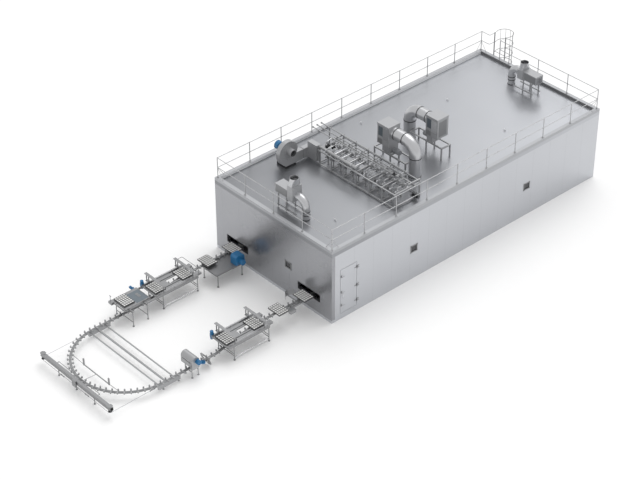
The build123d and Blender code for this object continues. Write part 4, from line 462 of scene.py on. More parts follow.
def brushed_steel(name, colour, roughness, grain, tone=0.06, metallic=0.62, depth=0.0003):
    """Stainless sheet: fine grain along one axis, slow tone changes and faint wipe marks."""
    finish = Finish(name)
    streaks = finish.noise(12.0, 4.0, finish.stretched(grain), 0.7)
    clouds = finish.noise(0.35, 2.0)
    wipes = finish.noise(1.7, 5.0, None, 0.6)
    base = finish.mix(streaks * 0.4 + clouds * 0.6, shade(colour, 1 - 2 * tone), colour)
    rough = roughness + (streaks - 0.5) * 0.08 + (wipes - 0.5) * 0.1
    normal = finish.bump(streaks, depth, 0.2)
    return finish.surface(Base_Color=base, Metallic=metallic, Roughness=rough, Normal=normal)


def panel_steel(name, colour, roughness, seams, tone=0.05):
    """Insulated wall panels: brushed sheet with a fine joint between each two panels."""
    finish = Finish(name)
    streaks = finish.noise(12.0, 4.0, finish.stretched((60.0, 60.0, 1.0)), 0.7)
    clouds = finish.noise(0.3, 2.0)
    wipes = finish.noise(1.1, 5.0, None, 0.6)
    across = finish.along(seams[0])
    for axis in seams[1:]:
        across = across + finish.along(axis)
    joint = abs((across / PANEL_PITCH) % 1.0 - 0.5) > 0.5 - JOINT_HALF
    sheet = finish.mix(streaks * 0.3 + clouds * 0.7, shade(colour, 1 - 2 * tone), colour)
    base = finish.mix(joint * 0.35, sheet, JOINT_COLOUR)
    rough = roughness + (streaks - 0.5) * 0.06 + (wipes - 0.5) * 0.09 + joint * 0.2
    normal = finish.bump(streaks * 0.1 - joint, 0.002, 0.25)
    return finish.surface(Base_Color=base, Metallic=0.85, Roughness=rough, Normal=normal)


def roof_steel(name, colour, roughness):
    """Roof sheet: smooth, with painted light, paler towards the rear and right, slow tone changes
    and a film of dust.
    """
    finish = Finish(name)
    clouds = finish.noise(0.22, 2.0)
    dust = finish.noise(0.9, 5.0, None, 0.62)
    # Painted light: paler towards the rear and right, darker towards the front left, mixed with the
    # random clouds
    painted_light_ramp = finish.along("Y") / 20.0 + finish.along("X") / 30.0 + 0.5
    base = finish.mix(clouds * 0.15 + painted_light_ramp * 0.9, shade(colour, 0.5), colour)
    rough = roughness + (dust - 0.5) * 0.1
    return finish.surface(Base_Color=base, Metallic=0.74, Roughness=rough)


def curb_steel(name, coping, painted_inner_tone):
    """Roof curb: its inner faces below the top take a given painted tone for how light falls on
    them, and the rest the coping's.
    """
    finish = Finish(name)
    dust = finish.noise(2.5, 4.0)
    inside_x = abs(finish.along("X")) < CURB_INSIDE_X
    inside = inside_x * (abs(finish.along("Y")) < CURB_INSIDE_Y)
    inner = inside * (finish.along("Z") < CURB_TOP - 0.002)
    # The inner faces below the top take the given tone: painted light on the side curbs, painted
    # shade on the end curbs
    base = finish.mix(inner, coping, painted_inner_tone)
    return finish.surface(Base_Color=base, Metallic=0.6 - inner * 0.6, Roughness=0.4 + dust * 0.1)


def painted(name, colour, roughness, metallic=0.0):
    """Machine paint with a slight orange peel and worn, dusty patches."""
    finish = Finish(name)
    peel = finish.noise(ORANGE_PEEL, 2.0)
    dust = finish.noise(6.0, 4.0)
    base = finish.mix(dust, shade(colour, 0.78), colour)
    normal = finish.bump(peel, 0.001, 0.2)
    rough = roughness + (dust - 0.5) * 0.2
    return finish.surface(Base_Color=base, Metallic=metallic, Roughness=rough, Normal=normal)


def dark_pane(name):
    """Tinted inspection glass with a faint film."""
    finish = Finish(name)
    film = finish.noise(14.0, 4.0)
    base = finish.mix(film, (0.012, 0.012, 0.014), (0.03, 0.031, 0.035))
    coat = 0.3 + film * 0.1
    return finish.surface(Base_Color=base, Roughness=0.16 + film * 0.12, Coat_Weight=coat)


def wire_rope(name):
    """Steel rope: strands slant across its length."""
    finish = Finish(name)
    strand = finish.ribs(finish.along("Y") + finish.along("X"), ROPE_STRANDS)
    # Darker in the grooves between the strands, where the bump is low: painted shade
    base = finish.mix(strand, (0.16, 0.16, 0.17), (0.52, 0.53, 0.55))
    normal = finish.bump(strand, 0.004, 0.6)
    rough = 0.35 + strand * 0.1
    return finish.surface(Base_Color=base, Metallic=0.9, Roughness=rough, Normal=normal)


def bun_crust(name, colour):
    """Pale, just baked crust with a mottled crown."""
    finish = Finish(name)
    mottle = finish.noise(28.0, 5.0)
    base = finish.mix(mottle, shade(colour, 0.86), colour)
    normal = finish.bump(mottle, 0.004, 0.4)
    return finish.surface(Base_Color=base, Roughness=0.6 + mottle * 0.15, Normal=normal)


def rubber_belt(name):
    """Dark grey belt with fine cross ribs and dust."""
    finish = Finish(name)
    ribs = finish.ribs(finish.along("Y"), BELT_RIBS)
    dust = finish.noise(20.0, 3.0)
    base = finish.mix(dust, (0.05, 0.052, 0.056), (0.11, 0.114, 0.12))
    normal = finish.bump(ribs, 0.002, 0.5)
    return finish.surface(Base_Color=base, Roughness=0.6 + dust * 0.2, Normal=normal)


def studio_floor(name):
    """White floor that keeps shadows and lights evenly to the horizon."""
    finish = Finish(name)
    speck = finish.noise(3.0, 2.0)
    base = finish.mix(speck, (0.985, 0.985, 0.985), (0.995, 0.995, 0.995))
    rough = 0.9 + speck * 0.05
    return finish.surface(Base_Color=base, Roughness=rough, Specular_IOR_Level=0.0)


MADE = {}


def finish_of(name):
    """A finished material by name; the finishes step makes them all first."""
    return MADE[name]


# Grain of sheets without a brushed direction, and the tone of the curb's coping
FINE, MEDIUM, BROAD = ((grain,) * 3 for grain in (30.0, 20.0, 3.0))
COPING = (0.42, 0.428, 0.445)

# Solids whose finish isn't their record slot's own, because the photo shows them paler or darker
OWN_FINISH = {
    # The curb finishes carry painted light and painted shade on the curbs' inner faces
    "curb": ("roof_curb_sides", "roof_lugs"),
    "end_curb": ("roof_curb_ends",),
    "table": ("drive_table",),
    "casing": ("blower_volute", "air_duct", "exhaust_housings", "vent_fans"),
    "rack": (
        "rack_posts", "rack_ties", "rack_beams", "air_headers", "gas_branches",
        "exhaust_stands", "vent_rails", "slot_guide", "turn_carriage", "pan_cleaner"),
    "bright_steel": ("gas_valves", "guide_disc", "roof_ladder", "cage_hoops", "cage_bars"),
}


def make_finishes(settings):
    """Every material, by the record's slot name or by the piece that it is for."""
    chain, pan = settings.chain_colour, settings.pan_colour
    steels = (
        ("bright_steel", "frame_steel", settings.steel_colour, 0.32, (20.0, 20.0, 4.0)),
        ("rail_steel", "rail_steel", (0.5, 0.505, 0.515), 0.28, FINE, 0.04),
        ("duct_steel", "duct_steel", settings.duct_colour, 0.3, BROAD, 0.03, 0.8, 0.0001),
        ("casing", "casing_steel", (0.43, 0.435, 0.448), 0.36, BROAD, 0.04, 0.45, 0.0001),
        ("rack", "rack_steel", (0.42, 0.425, 0.435), 0.34, MEDIUM, 0.05, 0.5),
        ("chain_steel", "oiled_chain_steel", chain, 0.4, MEDIUM, 0.14),
        ("pan_steel", "pan_steel", pan, 0.42, FINE, 0.12),
        ("plate", "slide_plate", (0.16, 0.188, 0.212), 0.42, (2.0, 60.0, 60.0)),
        ("table", "table_steel", (0.25, 0.253, 0.262), 0.4, (40.0, 40.0, 2.0)),
        ("polished", "polished_pipe", (0.72, 0.725, 0.74), 0.14, FINE, 0.03, 0.95),
    )
    MADE.update({slot: brushed_steel(*values) for slot, *values in steels})
    MADE.update({
        "panel": panel_steel("oven_panel_steel", settings.panel_colour, 0.34, "XY"),
        # The front wall's panels take a darker copy of the panel steel: painted shade
        "front_panel": panel_steel("oven_front_steel", settings.front_shaded_colour, 0.26, "X", 0.08),
        "deck": roof_steel("oven_roof_steel", settings.roof_colour, 0.33),
        # Inner faces: pale and matt on the side curbs as painted light, dark on the end curbs as
        # painted shade
        "curb": curb_steel("curb_steel", COPING, (0.85, 0.86, 0.88)),
        "end_curb": curb_steel("end_curb_steel", COPING, (0.16, 0.163, 0.17)),
        "dark_steel": painted("dark_fittings", (0.06, 0.062, 0.066), 0.42, 0.4),
        "blue_motor": painted("blue_enamel", settings.motor_colour, 0.32),
        "grey_motor": painted("grey_enamel", (0.3, 0.31, 0.33), 0.36),
        "dark_glass": dark_pane("inspection_pane"),
        "wire_rope": wire_rope("steel_rope"),
        "buns": bun_crust("bun_crust", settings.bun_colour),
        "belt": rubber_belt("belt_rubber"),
    })


def finish_solids():
    """Puts each solid's material on its own slots."""
    own = {node: finish for finish, nodes in OWN_FINISH.items() for node in nodes}
    for entry in frame["record"]["subparts"]:
        solid = frame["nodes"][entry["node"]]
        solid.data.materials.clear()
        finish = own.get(entry["node"], entry["material_slot"])
        solid.data.materials.append(finish_of(finish))


# Pieces

def add_buns(settings):
    """Rows of buns in every pan, from the pans' middles."""
    tree = PieceTree("buns_in_pans", {
        "Columns": 6, "Rows": 5, "Width": 0.66, "Length": 0.475, "Radius": 0.05, "Flatness": 0.72})
    grid = tree.grid(tree["Columns"], tree["Rows"], tree["Width"], tree["Length"])
    ball = tree.put("GeometryNodeMeshUVSphere", Segments=10, Rings=6, Radius=tree["Radius"])
    bun = tree.moved(ball, (0.0, 0.0, 0.018), scale=tree.vector(1.0, 1.0, tree["Flatness"]))
    tree.on_marks("buns", tree.copies(bun, grid), smooth=True)
    level = BED_TOP + PAN_FLOOR
    pans = [((x, FRONT - distance, level),) for x in BRANCHES for distance in PAN_DISTANCES]
    pans.append(((TABLE_PAN[0], TABLE_PAN[1], TABLE_PAN[2] + PAN_FLOOR),))
    tree.place("pan_buns", pans, {
        "Columns": settings.bun_columns, "Rows": settings.bun_rows,
        "Radius": settings.bun_radius})


def rib_tree(finish):
    """Cooling ribs round a motor of radius 1 and length 1, with its fan cowl and terminal box."""
    tree = PieceTree("motor_ribs_" + finish, {
        "Ribs": 20, "Rib height": 0.13, "Rib width": 0.05, "Cowl": 0.24})
    rib = tree.cube(tree["Rib height"], tree["Rib width"], 0.56)
    ribs = tree.moved(tree.ring(rib, tree["Ribs"], 1.0), (0.0, 0.0, 0.42))
    cowl = tree.drum(20, 1.06, tree["Cowl"], (0.0, 0.0, 0.88))
    rim = tree.moved(tree.hoop(1.0, 0.06, 20), Z_AXIS, scale=(1.0, 1.0, 0.4))
    box = tree.cube(0.62, 0.8, 0.26, (1.12, 0.0, 0.36))
    lid = tree.cube(0.06, 0.9, 0.3, (1.46, 0.0, 0.36))
    tree.on_marks(finish, ribs, cowl, rim, box, lid)
    return tree


def add_motor_ribs(settings):
    """Ribs, cowls and terminal boxes on the motors, and the blower motor's cowl."""
    ribs = {"Ribs": settings.motor_ribs}
    for finish, motors in (("blue_motor", BLUE_MOTORS), ("grey_motor", GREY_MOTORS)):
        rib_tree(finish).place(finish + "_ribs", motors, ribs, slot=finish)

    tree = PieceTree("blower_cowls", {"Rim": 0.05})
    shell = tree.drum(24, 1.0, 1.0, (0.0, 0.0, 0.5))
    hoop = tree.hoop(1.0, tree["Rim"], 24)
    rims = [tree.moved(hoop, (0.0, 0.0, end), scale=(1.0, 1.0, 0.6)) for end in (0.04, 0.96)]
    tree.on_marks("blue_motor", shell, *rims)
    tree.place("blower_cowl", [BLOWER_COWL], slot="blue_motor")


def bolt_ring_tree(name, finish):
    """Hexagon heads round a circle, with a washer under each."""
    tree = PieceTree(name, {"Bolts": 8, "Circle": 0.08, "Head": 0.011, "Head height": 0.009})
    head = tree.drum(6, tree["Head"], tree["Head height"])
    washer = tree.drum(10, tree["Head"] * 1.45, 0.002, (0.0, 0.0, -0.004))
    tree.on_marks(finish, tree.ring(tree.joined(head, washer), tree["Bolts"], tree["Circle"]))
    return tree


def add_bolts(settings):
    """Bolt circles on the burner flanges, the valve rims, the casing, the manifold and vents."""
    head = settings.bolt_head
    flanges = [((x, BURNER_Y, DECK + 0.029),) for x in BURNER_X]
    rims = [((x, BURNER_Y, DECK + level),) for level in (0.356, 0.534) for x in BURNER_X]
    casing = [((-2.496, BLOWER_Y, BLOWER_Z), X_AXIS, Y_AXIS)]
    manifold = [((MANIFOLD_END + 0.004, MANIFOLD_Y, MANIFOLD_Z), X_AXIS, Y_AXIS)]
    vents = [((x, y, DECK + 0.038),) for x, y, side, top in VENTS]
    tree = bolt_ring_tree("flange_bolts", "polished")
    for name, places, bolts, circle, head_radius in (
            ("burner_flange_bolts", flanges, 6, 0.068, head),
            ("valve_bolts", rims, 6, 0.067, head * 0.7),
            ("casing_bolts", casing, 20, 0.44, head),
            ("manifold_bolts", manifold, 8, 0.068, head),
            ("vent_base_bolts", vents, 12, 0.196, head)):
        tree.place(name, places, {"Head": head_radius, "Bolts": bolts, "Circle": circle})


def louvre_tree(finish):
    """Upright slats in a frame; a mark's size gives the opening's width and height."""
    tree = PieceTree("louvres", {"Slats": 7, "Slat depth": 0.03, "Frame": 0.04})
    depth = tree["Slat depth"]
    slat = tree.cube(0.05, 0.94, depth, turn=(0.0, 0.5, 0.0))
    step = tree.vector(0.86 / (tree["Slats"] - 1.0), 0.0, 0.0)
    slats = tree.row(slat, tree["Slats"], (-0.43, 0.0, 0.0), step)
    side = tree.cube(tree["Frame"], 1.0, depth)
    end = tree.cube(1.0, tree["Frame"], depth)
    sides, ends = tree.both(side, (0.48, 0.0, 0.0)), tree.both(end, (0.0, 0.48, 0.0))
    tree.on_marks(finish, slats, sides, ends)
    return tree


def door_panel_tree(finish):
    """A raised access panel: a sheet with a rolled edge and a screw at each corner."""
    tree = PieceTree("access_panels_" + finish, {"Edge": 0.02, "Proud": 0.012})
    sheet = tree.cube(1.0, 1.0, tree["Proud"])
    outer = 1.0 + tree["Edge"]
    lip = tree.cube(outer, outer, 0.004, (0.0, 0.0, -0.004))
    screws = tree.copies(tree.drum(8, 0.022, 0.008), tree.grid(2, 2, 0.88, 0.88))
    tree.on_marks(finish, sheet, lip, tree.moved(screws, (0.0, 0.0, 0.008)))
    return tree


def add_fan_panels(settings):
    """Louvres and access panels on the exhaust and vent housings."""
    louvred, plain, dark = [], [], []
    for x, y, side in EXHAUSTS:
        centre = x + side * EXHAUST_BOX_X
        front, back = y - EXHAUST_BOX_SIDE, y + EXHAUST_BOX_SIDE
        louvred += [
            ((centre + 0.17, front, DECK + 1.72), DOWN_Y, X_AXIS, LOUVRE_SIZE),
            ((centre - 0.15, back, DECK + 1.72), Y_AXIS, X_AXIS, LOUVRE_SIZE)]
        dark.append(((centre - 0.17, front, DECK + 1.78), DOWN_Y, X_AXIS, (0.28, 0.5, 1.0)))
        plain += [
            ((centre - 0.2, front, DECK + 1.25), DOWN_Y, X_AXIS, (0.3, 0.26, 1.0)),
            ((centre + side * 0.392, y, DECK + 1.6), (side, 0.0, 0.0), Y_AXIS, (0.5, 0.8, 1.0))]
    for x, y, side, top in VENTS:
        middle = x + side * VENT_BOX_X
        plain += [
            ((middle, y - VENT_BOX_SIDE, VENT_BOX_Z), DOWN_Y, X_AXIS, VENT_PANEL_SIZE),
            ((middle, y + VENT_BOX_SIDE, VENT_BOX_Z), Y_AXIS, X_AXIS, VENT_PANEL_SIZE)]
        end = x + side * VENT_BOX_END
        louvred.append(((end, y, VENT_BOX_Z), (side, 0.0, 0.0), Y_AXIS, (0.4, 0.34, 1.0)))
    slats = {"Slats": settings.louvre_slats}
    louvre_tree("duct_steel").place("housing_louvres", louvred, slats, slot="duct_steel")
    door_panel_tree("bright_steel").place("access_panels", plain, slot="bright_steel")
    door_panel_tree("plate").place("filter_panels", dark)


def add_casing_details():
    """Guard rings in the blower's inlet, and dark throats in the inlet and the vent stacks."""
    tree = PieceTree("inlet_guard", {"Wire": 0.004})
    rings = [tree.hoop(radius, tree["Wire"], 24) for radius in (0.04, 0.08, 0.12, 0.16)]
    spoke = tree.cube(0.33, 0.006, 0.006)
    spokes = [tree.moved(spoke, turn=(0.0, 0.0, turn)) for turn in (0.4, 0.4 + QUARTER_TURN)]
    tree.on_marks("dark_steel", *rings, *spokes, smooth=True)
    tree.place("inlet_guard", [((-2.223, BLOWER_Y, BLOWER_Z), X_AXIS, Y_AXIS)], slot="dark_steel")

    tree = PieceTree("dark_throats", {"Blades": 10})
    blade = tree.cube(0.8, 0.3, 0.02, (0.5, 0.0, 0.0), (0.5, 0.0, 0.0))
    blades = tree.ring(blade, tree["Blades"], 0.02)
    hub = tree.drum(16, 0.24, 0.12)
    back = tree.drum(24, 0.99, 0.02, (0.0, 0.0, -0.25))
    tree.on_marks("dark_steel", blades, hub, back)
    throats = [((-2.3, BLOWER_Y, BLOWER_Z), X_AXIS, Y_AXIS, (0.16, 0.16, 0.16))]
    for x, y, side, top in VENTS:
        throats.append(((x + side * 0.8, y, top - 0.1), Z_AXIS, X_AXIS, (0.185, 0.185, 0.16)))
    tree.place("dark_throats", throats, slot="dark_steel")


def tube_tree(name, finish, steps=4, limited=True):
    """A round tube along each line, with rounded bends."""
    tree = PieceTree(name, {"Radius": 0.014, "Bend": 0.05, "Sides": 8})
    section = tree.circle(tree["Sides"], tree["Radius"])
    tree.end(tree.swept(tree.runs(steps, limited), section, caps=True), finish, smooth=True)
    return tree


def add_smooth_ducts():
    """The round ducts as smooth tubes, from the deck round an elbow to each fan."""
    tree = tube_tree("round_ducts", "duct_steel", 20, limited=False)
    exhaust = [
        [(x, y, DECK), (x, y, EXHAUST_AXIS), (x + side * EXHAUST_REACH, y, EXHAUST_AXIS)]
        for x, y, side in EXHAUSTS]
    vent = [
        [(x, y, DECK), (x, y, VENT_AXIS), (x + side * 0.6, y, VENT_AXIS)]
        for x, y, side, top in VENTS]
    large = tree.route("exhaust_tubes", exhaust, {"Radius": 0.305, "Bend": 0.68, "Sides": 40})
    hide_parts("exhaust_ducts")
    small = tree.route("vent_tubes", vent, {"Radius": 0.19, "Bend": 0.44, "Sides": 40})
    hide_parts("vent_ducts")


def valve_tree(name, finish):
    """A flanged valve along Z with its bonnet and handwheel standing out along X."""
    tree = PieceTree(name, {"Body": 0.05, "Flange": 0.075, "Wheel": 0.07})
    wheel_x, upright = (0.15, 0.0, 0.0), (0.0, QUARTER_TURN, 0.0)
    body = tree.drum(12, tree["Body"], 0.13)
    flanges = tree.both(tree.drum(14, tree["Flange"], 0.016), (0.0, 0.0, 0.06))
    stem = tree.drum(8, 0.012, 0.13, (0.09, 0.0, 0.0), upright)
    bonnet = tree.drum(10, 0.03, 0.05, (0.06, 0.0, 0.0), upright)
    wheel = tree.moved(tree.hoop(tree["Wheel"], 0.007, 14, 5), wheel_x, upright)
    spoke = tree.cube(0.006, 0.009, tree["Wheel"] * 2.0)
    spokes = [tree.moved(spoke, wheel_x, (turn, 0.0, 0.0)) for turn in (0.0, QUARTER_TURN)]
    tree.on_marks(finish, body, flanges, stem, bonnet, wheel, *spokes)
    return tree


def regulator_tree(finish):
    """A pressure regulator: a flat round diaphragm case with a spring cap."""
    tree = PieceTree("regulators", {"Case": 0.085})
    case = tree.drum(18, tree["Case"], 0.05)
    rim = tree.drum(18, tree["Case"] * 1.12, 0.012)
    cap = tree.drum(10, 0.032, 0.11, (0.0, 0.0, 0.075))
    tip = tree.drum(8, 0.02, 0.03, (0.0, 0.0, 0.14))
    tree.on_marks(finish, case, rim, cap, tip)
    return tree


def pilot_routes():
    """The gas and air lines of every burner."""
    for x in BURNER_X:
        gas, air = x + GAS_SIDE, x - 0.09
        yield [(gas, GAS_Y[0], GAS_Z), (gas, GAS_Y[0], GAS_DROP), (gas, FEED_Y, GAS_DROP),
               (gas, FEED_Y, NOZZLE_LEVEL), (x, BURNER_Y + 0.03, NOZZLE_LEVEL)]
        source = (MANIFOLD_Y, MANIFOLD_Z - 0.05)
        if air >= MANIFOLD_END:
            source = (HEADER_Y, BURNER_TOP - 0.03)
        yield [(air, *source), (air, source[0], PILOT_LEVEL),
               (air, BURNER_Y, PILOT_LEVEL), (x - 0.02, BURNER_Y, PILOT_LEVEL)]


def add_burner_fittings(settings):
    """Small pipes, valves, regulators and unions of the burner trains."""
    small = tube_tree("small_pipes", "rack")
    small.route("pilot_pipes", list(pilot_routes()), {"Radius": settings.pipe_radius})
    bright = [[(x, FRONT + 4.73, DECK + 0.97), (x, FRONT + 5.3, DECK + 0.97),
               (x, HEADER_Y, HEADER_TAP)] for x in CROSS_PIPES_X]
    bright.append([(RELIEF_X, BURNER_Y, DECK + 0.8), (RELIEF_X, FRONT + 5.2, DECK + 1.0),
                   (RELIEF_X, GAS_Y[0], GAS_Z)])
    polished = tube_tree("bright_pipes", "polished")
    polished.route("cross_pipes", bright, {"Radius": 0.024, "Bend": 0.1})

    upright = [((x + GAS_SIDE, FEED_Y, DECK + 0.48), Z_AXIS, (0.3, -1.0, 0.0)) for x in BURNER_X]
    lying = [((x, FRONT + 5.32, BURNER_TOP), Y_AXIS, Z_AXIS) for x in BURNER_X]
    valves = valve_tree("valves", "bright_steel")
    valves.place("burner_valves", upright + lying, slot="bright_steel")
    cases = [((x, BURNER_Y, DECK + 0.72), DOWN_Y, X_AXIS) for x in BURNER_X]
    cases += [((x + GAS_SIDE, GAS_Y[0] - 0.02, DECK + 0.8), Z_AXIS, X_AXIS, (0.8,) * 3)
              for x in BURNER_X]
    regulator_tree("duct_steel").place("regulators", cases, slot="duct_steel")
    dark = [((-1.62, FRONT + 5.0, DECK + 0.9), Y_AXIS, Z_AXIS, (1.3,) * 3),
            ((-1.45, FRONT + 5.2, DECK + 0.84), Y_AXIS, Z_AXIS, (1.1,) * 3),
            ((2.45, GAS_Y[0], GAS_Z), X_AXIS, Z_AXIS)]
    dark += [((x, DRAIN_Y, DECK + 0.2), Z_AXIS, DOWN_Y) for x in DRAINS_X]
    valve_tree("dark_valves", "dark_steel").place("dark_valves", dark, slot="dark_steel")
    drains = [[(x, DRAIN_Y, DECK), (x, DRAIN_Y, DECK + 0.42), (x, HEADER_Y, HEADER_TAP)]
              for x in DRAINS_X]
    small.route("header_drains", drains, {"Radius": 0.02, "Bend": 0.06})

    tree = PieceTree("pipe_unions", {"Outer": 1.5, "Width": 0.5})
    union = tree.drum(16, tree["Outer"], tree["Width"])
    collar = tree.drum(12, tree["Outer"] * 0.85, tree["Width"] * 2.2)
    tree.on_marks("duct_steel", union, collar)
    joints = []
    for bay in range(RACK_BAYS):
        x = RACK_LEFT + RACK_PITCH * (bay + 0.53)
        if x < MANIFOLD_END:
            joints.append(((x, MANIFOLD_Y, MANIFOLD_Z), 0.075))
        joints.append(((x, HEADER_Y, BURNER_TOP), 0.045))
        joints += [((x - 0.3, y, GAS_Z), 0.028) for y in GAS_Y]
    unions = [(place, X_AXIS, Z_AXIS, (radius,) * 3) for place, radius in joints]
    tree.place("pipe_unions", unions, slot="duct_steel")


def add_rail_feet(settings):
    """A bolted base plate and a collar at the foot of every rail post."""
    tree = PieceTree("post_feet", {
        "Plate": 0.1, "Thickness": 0.01, "Bolt": 0.008, "Collar": 0.03})
    plate = tree.cube(tree["Plate"], tree["Plate"], tree["Thickness"])
    bolts = tree.copies(tree.drum(6, tree["Bolt"], 0.012), tree.grid(2, 2, 0.07, 0.07))
    collar = tree.drum(14, tree["Collar"], 0.03, (0.0, 0.0, 0.02))
    tree.on_marks("rail_steel", plate, tree.moved(bolts, (0.0, 0.0, 0.01)), collar)
    level = CURB_TOP + 0.006
    places = [((x, -POST_Y + POST_PITCH * bay, level),)
              for x in (-POST_X, POST_X) for bay in range(10)]
    places += [((POST_PITCH * bay, y, level),) for bay in (-1, 0, 1) for y in (-POST_Y, POST_Y)]
    tree.place("post_feet", places, {"Plate": settings.foot_plate}, slot="rail_steel")


def add_belts():
    """Ribbed belts in the beds of the loader and the unloader."""
    tree = PieceTree("cleated_belts", {"Cleats": 40, "Thickness": 0.004})
    ply = tree.cube(1.0, 1.0, tree["Thickness"])
    step = tree.vector(0.0, 0.98 / (tree["Cleats"] - 1.0), 0.0)
    cleat = tree.cube(0.9, 0.006, 0.004)
    cleats = tree.row(cleat, tree["Cleats"], (0.0, -0.49, 0.0), step)
    tree.on_marks("belt", ply, tree.moved(cleats, (0.0, 0.0, 0.003)))
    strips = []
    for branch in BRANCHES:
        for x, start, end in ((-0.5, 3.25, 3.81), (-0.5, 4.76, 5.27),
                              (-0.27, 2.92, 5.32), (0.27, 2.92, 5.32)):
            middle = (branch + x, FRONT - (start + end) / 2, BED_TOP + 0.002)
            strips.append((middle, Z_AXIS, X_AXIS, (0.05, end - start, 1.0)))
    tree.place("bed_belts", strips)


def add_bars():
    """Guide bars along the beds, and polished sleeves on the low bars between the legs."""
    rails, sleeves = [], []
    start, end = BED_ENDS[0] + 0.1, BED_ENDS[1] - 0.1
    low, high = BEAM_TOP + 0.01, BEAM_TOP + 0.07
    for branch in BRANCHES:
        for side in SIDES:
            x = branch + side * 0.545
            rails.append([(x, start, low), (x, start, high), (x, end, high), (x, end, low)])
            rails += [[(x, FRONT - distance, BEAM_TOP - 0.01), (x, FRONT - distance, high)]
                      for distance in (3.6, 4.3)]
            x = branch + side * STATION_LEG
            sleeves.append([(x, FRONT - distance, LOW_BAR_HEIGHT) for distance in (4.95, 3.0)])
    guide = tube_tree("guide_bars", "rail_steel")
    guide.route("guide_bars", rails, {"Radius": 0.009, "Bend": 0.03}, slot="rail_steel")
    bright = tube_tree("low_sleeves", "polished")
    bright.route("low_sleeves", sleeves, {"Radius": 0.024, "Sides": 12})


def add_transfer_details():
    """Rollers and the slide plate of the transfer table."""
    tree = PieceTree("bed_rollers", {"Radius": 0.02, "Pitch": 0.05, "Count": 3})
    across = (0.0, QUARTER_TURN, 0.0)
    drum = tree.drum(12, tree["Radius"], 0.33, turn=across)
    hub = tree.drum(8, 0.009, 0.36, turn=across)
    step = tree.vector(0.0, tree["Pitch"], 0.0)
    tree.on_marks("bright_steel", tree.row(tree.joined(drum, hub), tree["Count"], MIDDLE, step))
    tree.place("table_rollers", [((-2.665, FRONT - 5.98, 0.906), Z_AXIS, X_AXIS, (1.0, 1.0, 0.3))])

    tree = PieceTree("slide_plates", {"Thickness": 0.004})
    lip = tree.cube(1.0, 0.02, 0.012, (0.0, 0.49, 0.004))
    tree.on_marks("plate", tree.cube(1.0, 1.0, tree["Thickness"]), lip)
    tree.place("slide_plates", [((-2.62, FRONT - 6.0, 0.902), Z_AXIS, X_AXIS, (0.82, 0.68, 1.0))])


def add_chain_links(settings):
    """Link plates and rollers along the whole visible chain."""
    tree = PieceTree("chain_links", {"Pitch": 0.0967, "Bend": 0.0, "Link": 0.07})
    spaced = {"Curve": tree.runs(32), "Length": tree["Pitch"]}
    points = tree.add("GeometryNodeCurveToPoints", spaced, mode="LENGTH")
    forward = Socket(tree, points.socket.node.outputs["Tangent"])
    plates = tree.both(tree.cube(tree["Link"], 0.004, 0.016), (0.0, 0.015, 0.0))
    roller = tree.drum(8, 0.009, 0.034, (0.048, 0.0, 0.0), (QUARTER_TURN, 0.0, 0.0))
    links = tree.copies(tree.joined(plates, roller), points, tree.turned("X", forward, "Z", Z_AXIS))
    tree.end(links, "chain_steel")
    high, low = TRACK_HIGH + CHAIN_TOP, TRACK_LOW + CHAIN_TOP
    straight = [[(x, FRONT + 0.2, high), (x, FRONT - 3.4, high),
                 (x, FRONT - 5.6, low), (x, TURN_CENTRE, low)] for x in BRANCHES]
    left, right = BRANCHES
    corner = TURN_CENTRE - right
    turn = [(left, TURN_CENTRE, low), (left, corner, low),
            (right, corner, low), (right, TURN_CENTRE, low)]
    values = {"Pitch": settings.link_pitch}
    tree.route("branch_links", straight, values, slot="chain_steel")
    tree.route("turn_links", [turn], {**values, "Bend": right}, slot="chain_steel")


def add_take_up_details():
    """Turnbuckles on the ropes, bolts on the sheave plates and the beam's cover strips."""
    tree = PieceTree("turnbuckles", {"Body": 0.016, "Length": 0.22})
    bars = tree.both(tree.cube(0.008, 0.008, tree["Length"]), (0.02, 0.0, 0.0))
    nut = tree.drum(10, tree["Body"] * 1.7, 0.04)
    ends = [tree.moved(nut, tree.vector(0.0, 0.0, tree["Length"] * share)) for share in (-0.5, 0.5)]
    tree.on_marks("bright_steel", bars, *ends)
    places = [((side * 0.9, TAKE_UP_Y - 0.098, ROPE_HEIGHT), X_AXIS, Y_AXIS) for side in SIDES]
    places += [((x, TURN_CENTRE - 0.6, ROPE_HEIGHT), Y_AXIS, X_AXIS) for x in BRANCHES]
    tree.place("turnbuckles", places, slot="bright_steel")

    bolts = bolt_ring_tree("sheave_bolts", "bright_steel")
    plates = [((side * 2.452, TAKE_UP_Y, 0.607),) for side in SIDES]
    bolts.place("sheave_bolts", plates, {"Bolts": 6, "Circle": 0.1, "Head": 0.008})

    tree = PieceTree("beam_covers", {"Length": 2.42, "Height": 0.16, "Screws": 9})
    length, count = tree["Length"], tree["Screws"]
    cover = tree.cube(length, tree["Height"], 0.006)
    start = tree.vector(length * -0.48, 0.0, 0.005)
    step = tree.vector(length * 0.96 / (count - 1.0))
    tree.on_marks("bright_steel", cover, tree.row(tree.drum(8, 0.011, 0.008), count, start, step))
    covers = [((side * 1.36, TAKE_UP_Y - 0.064, 0.495), DOWN_Y, X_AXIS) for side in SIDES]
    tree.place("beam_covers", covers, slot="bright_steel")


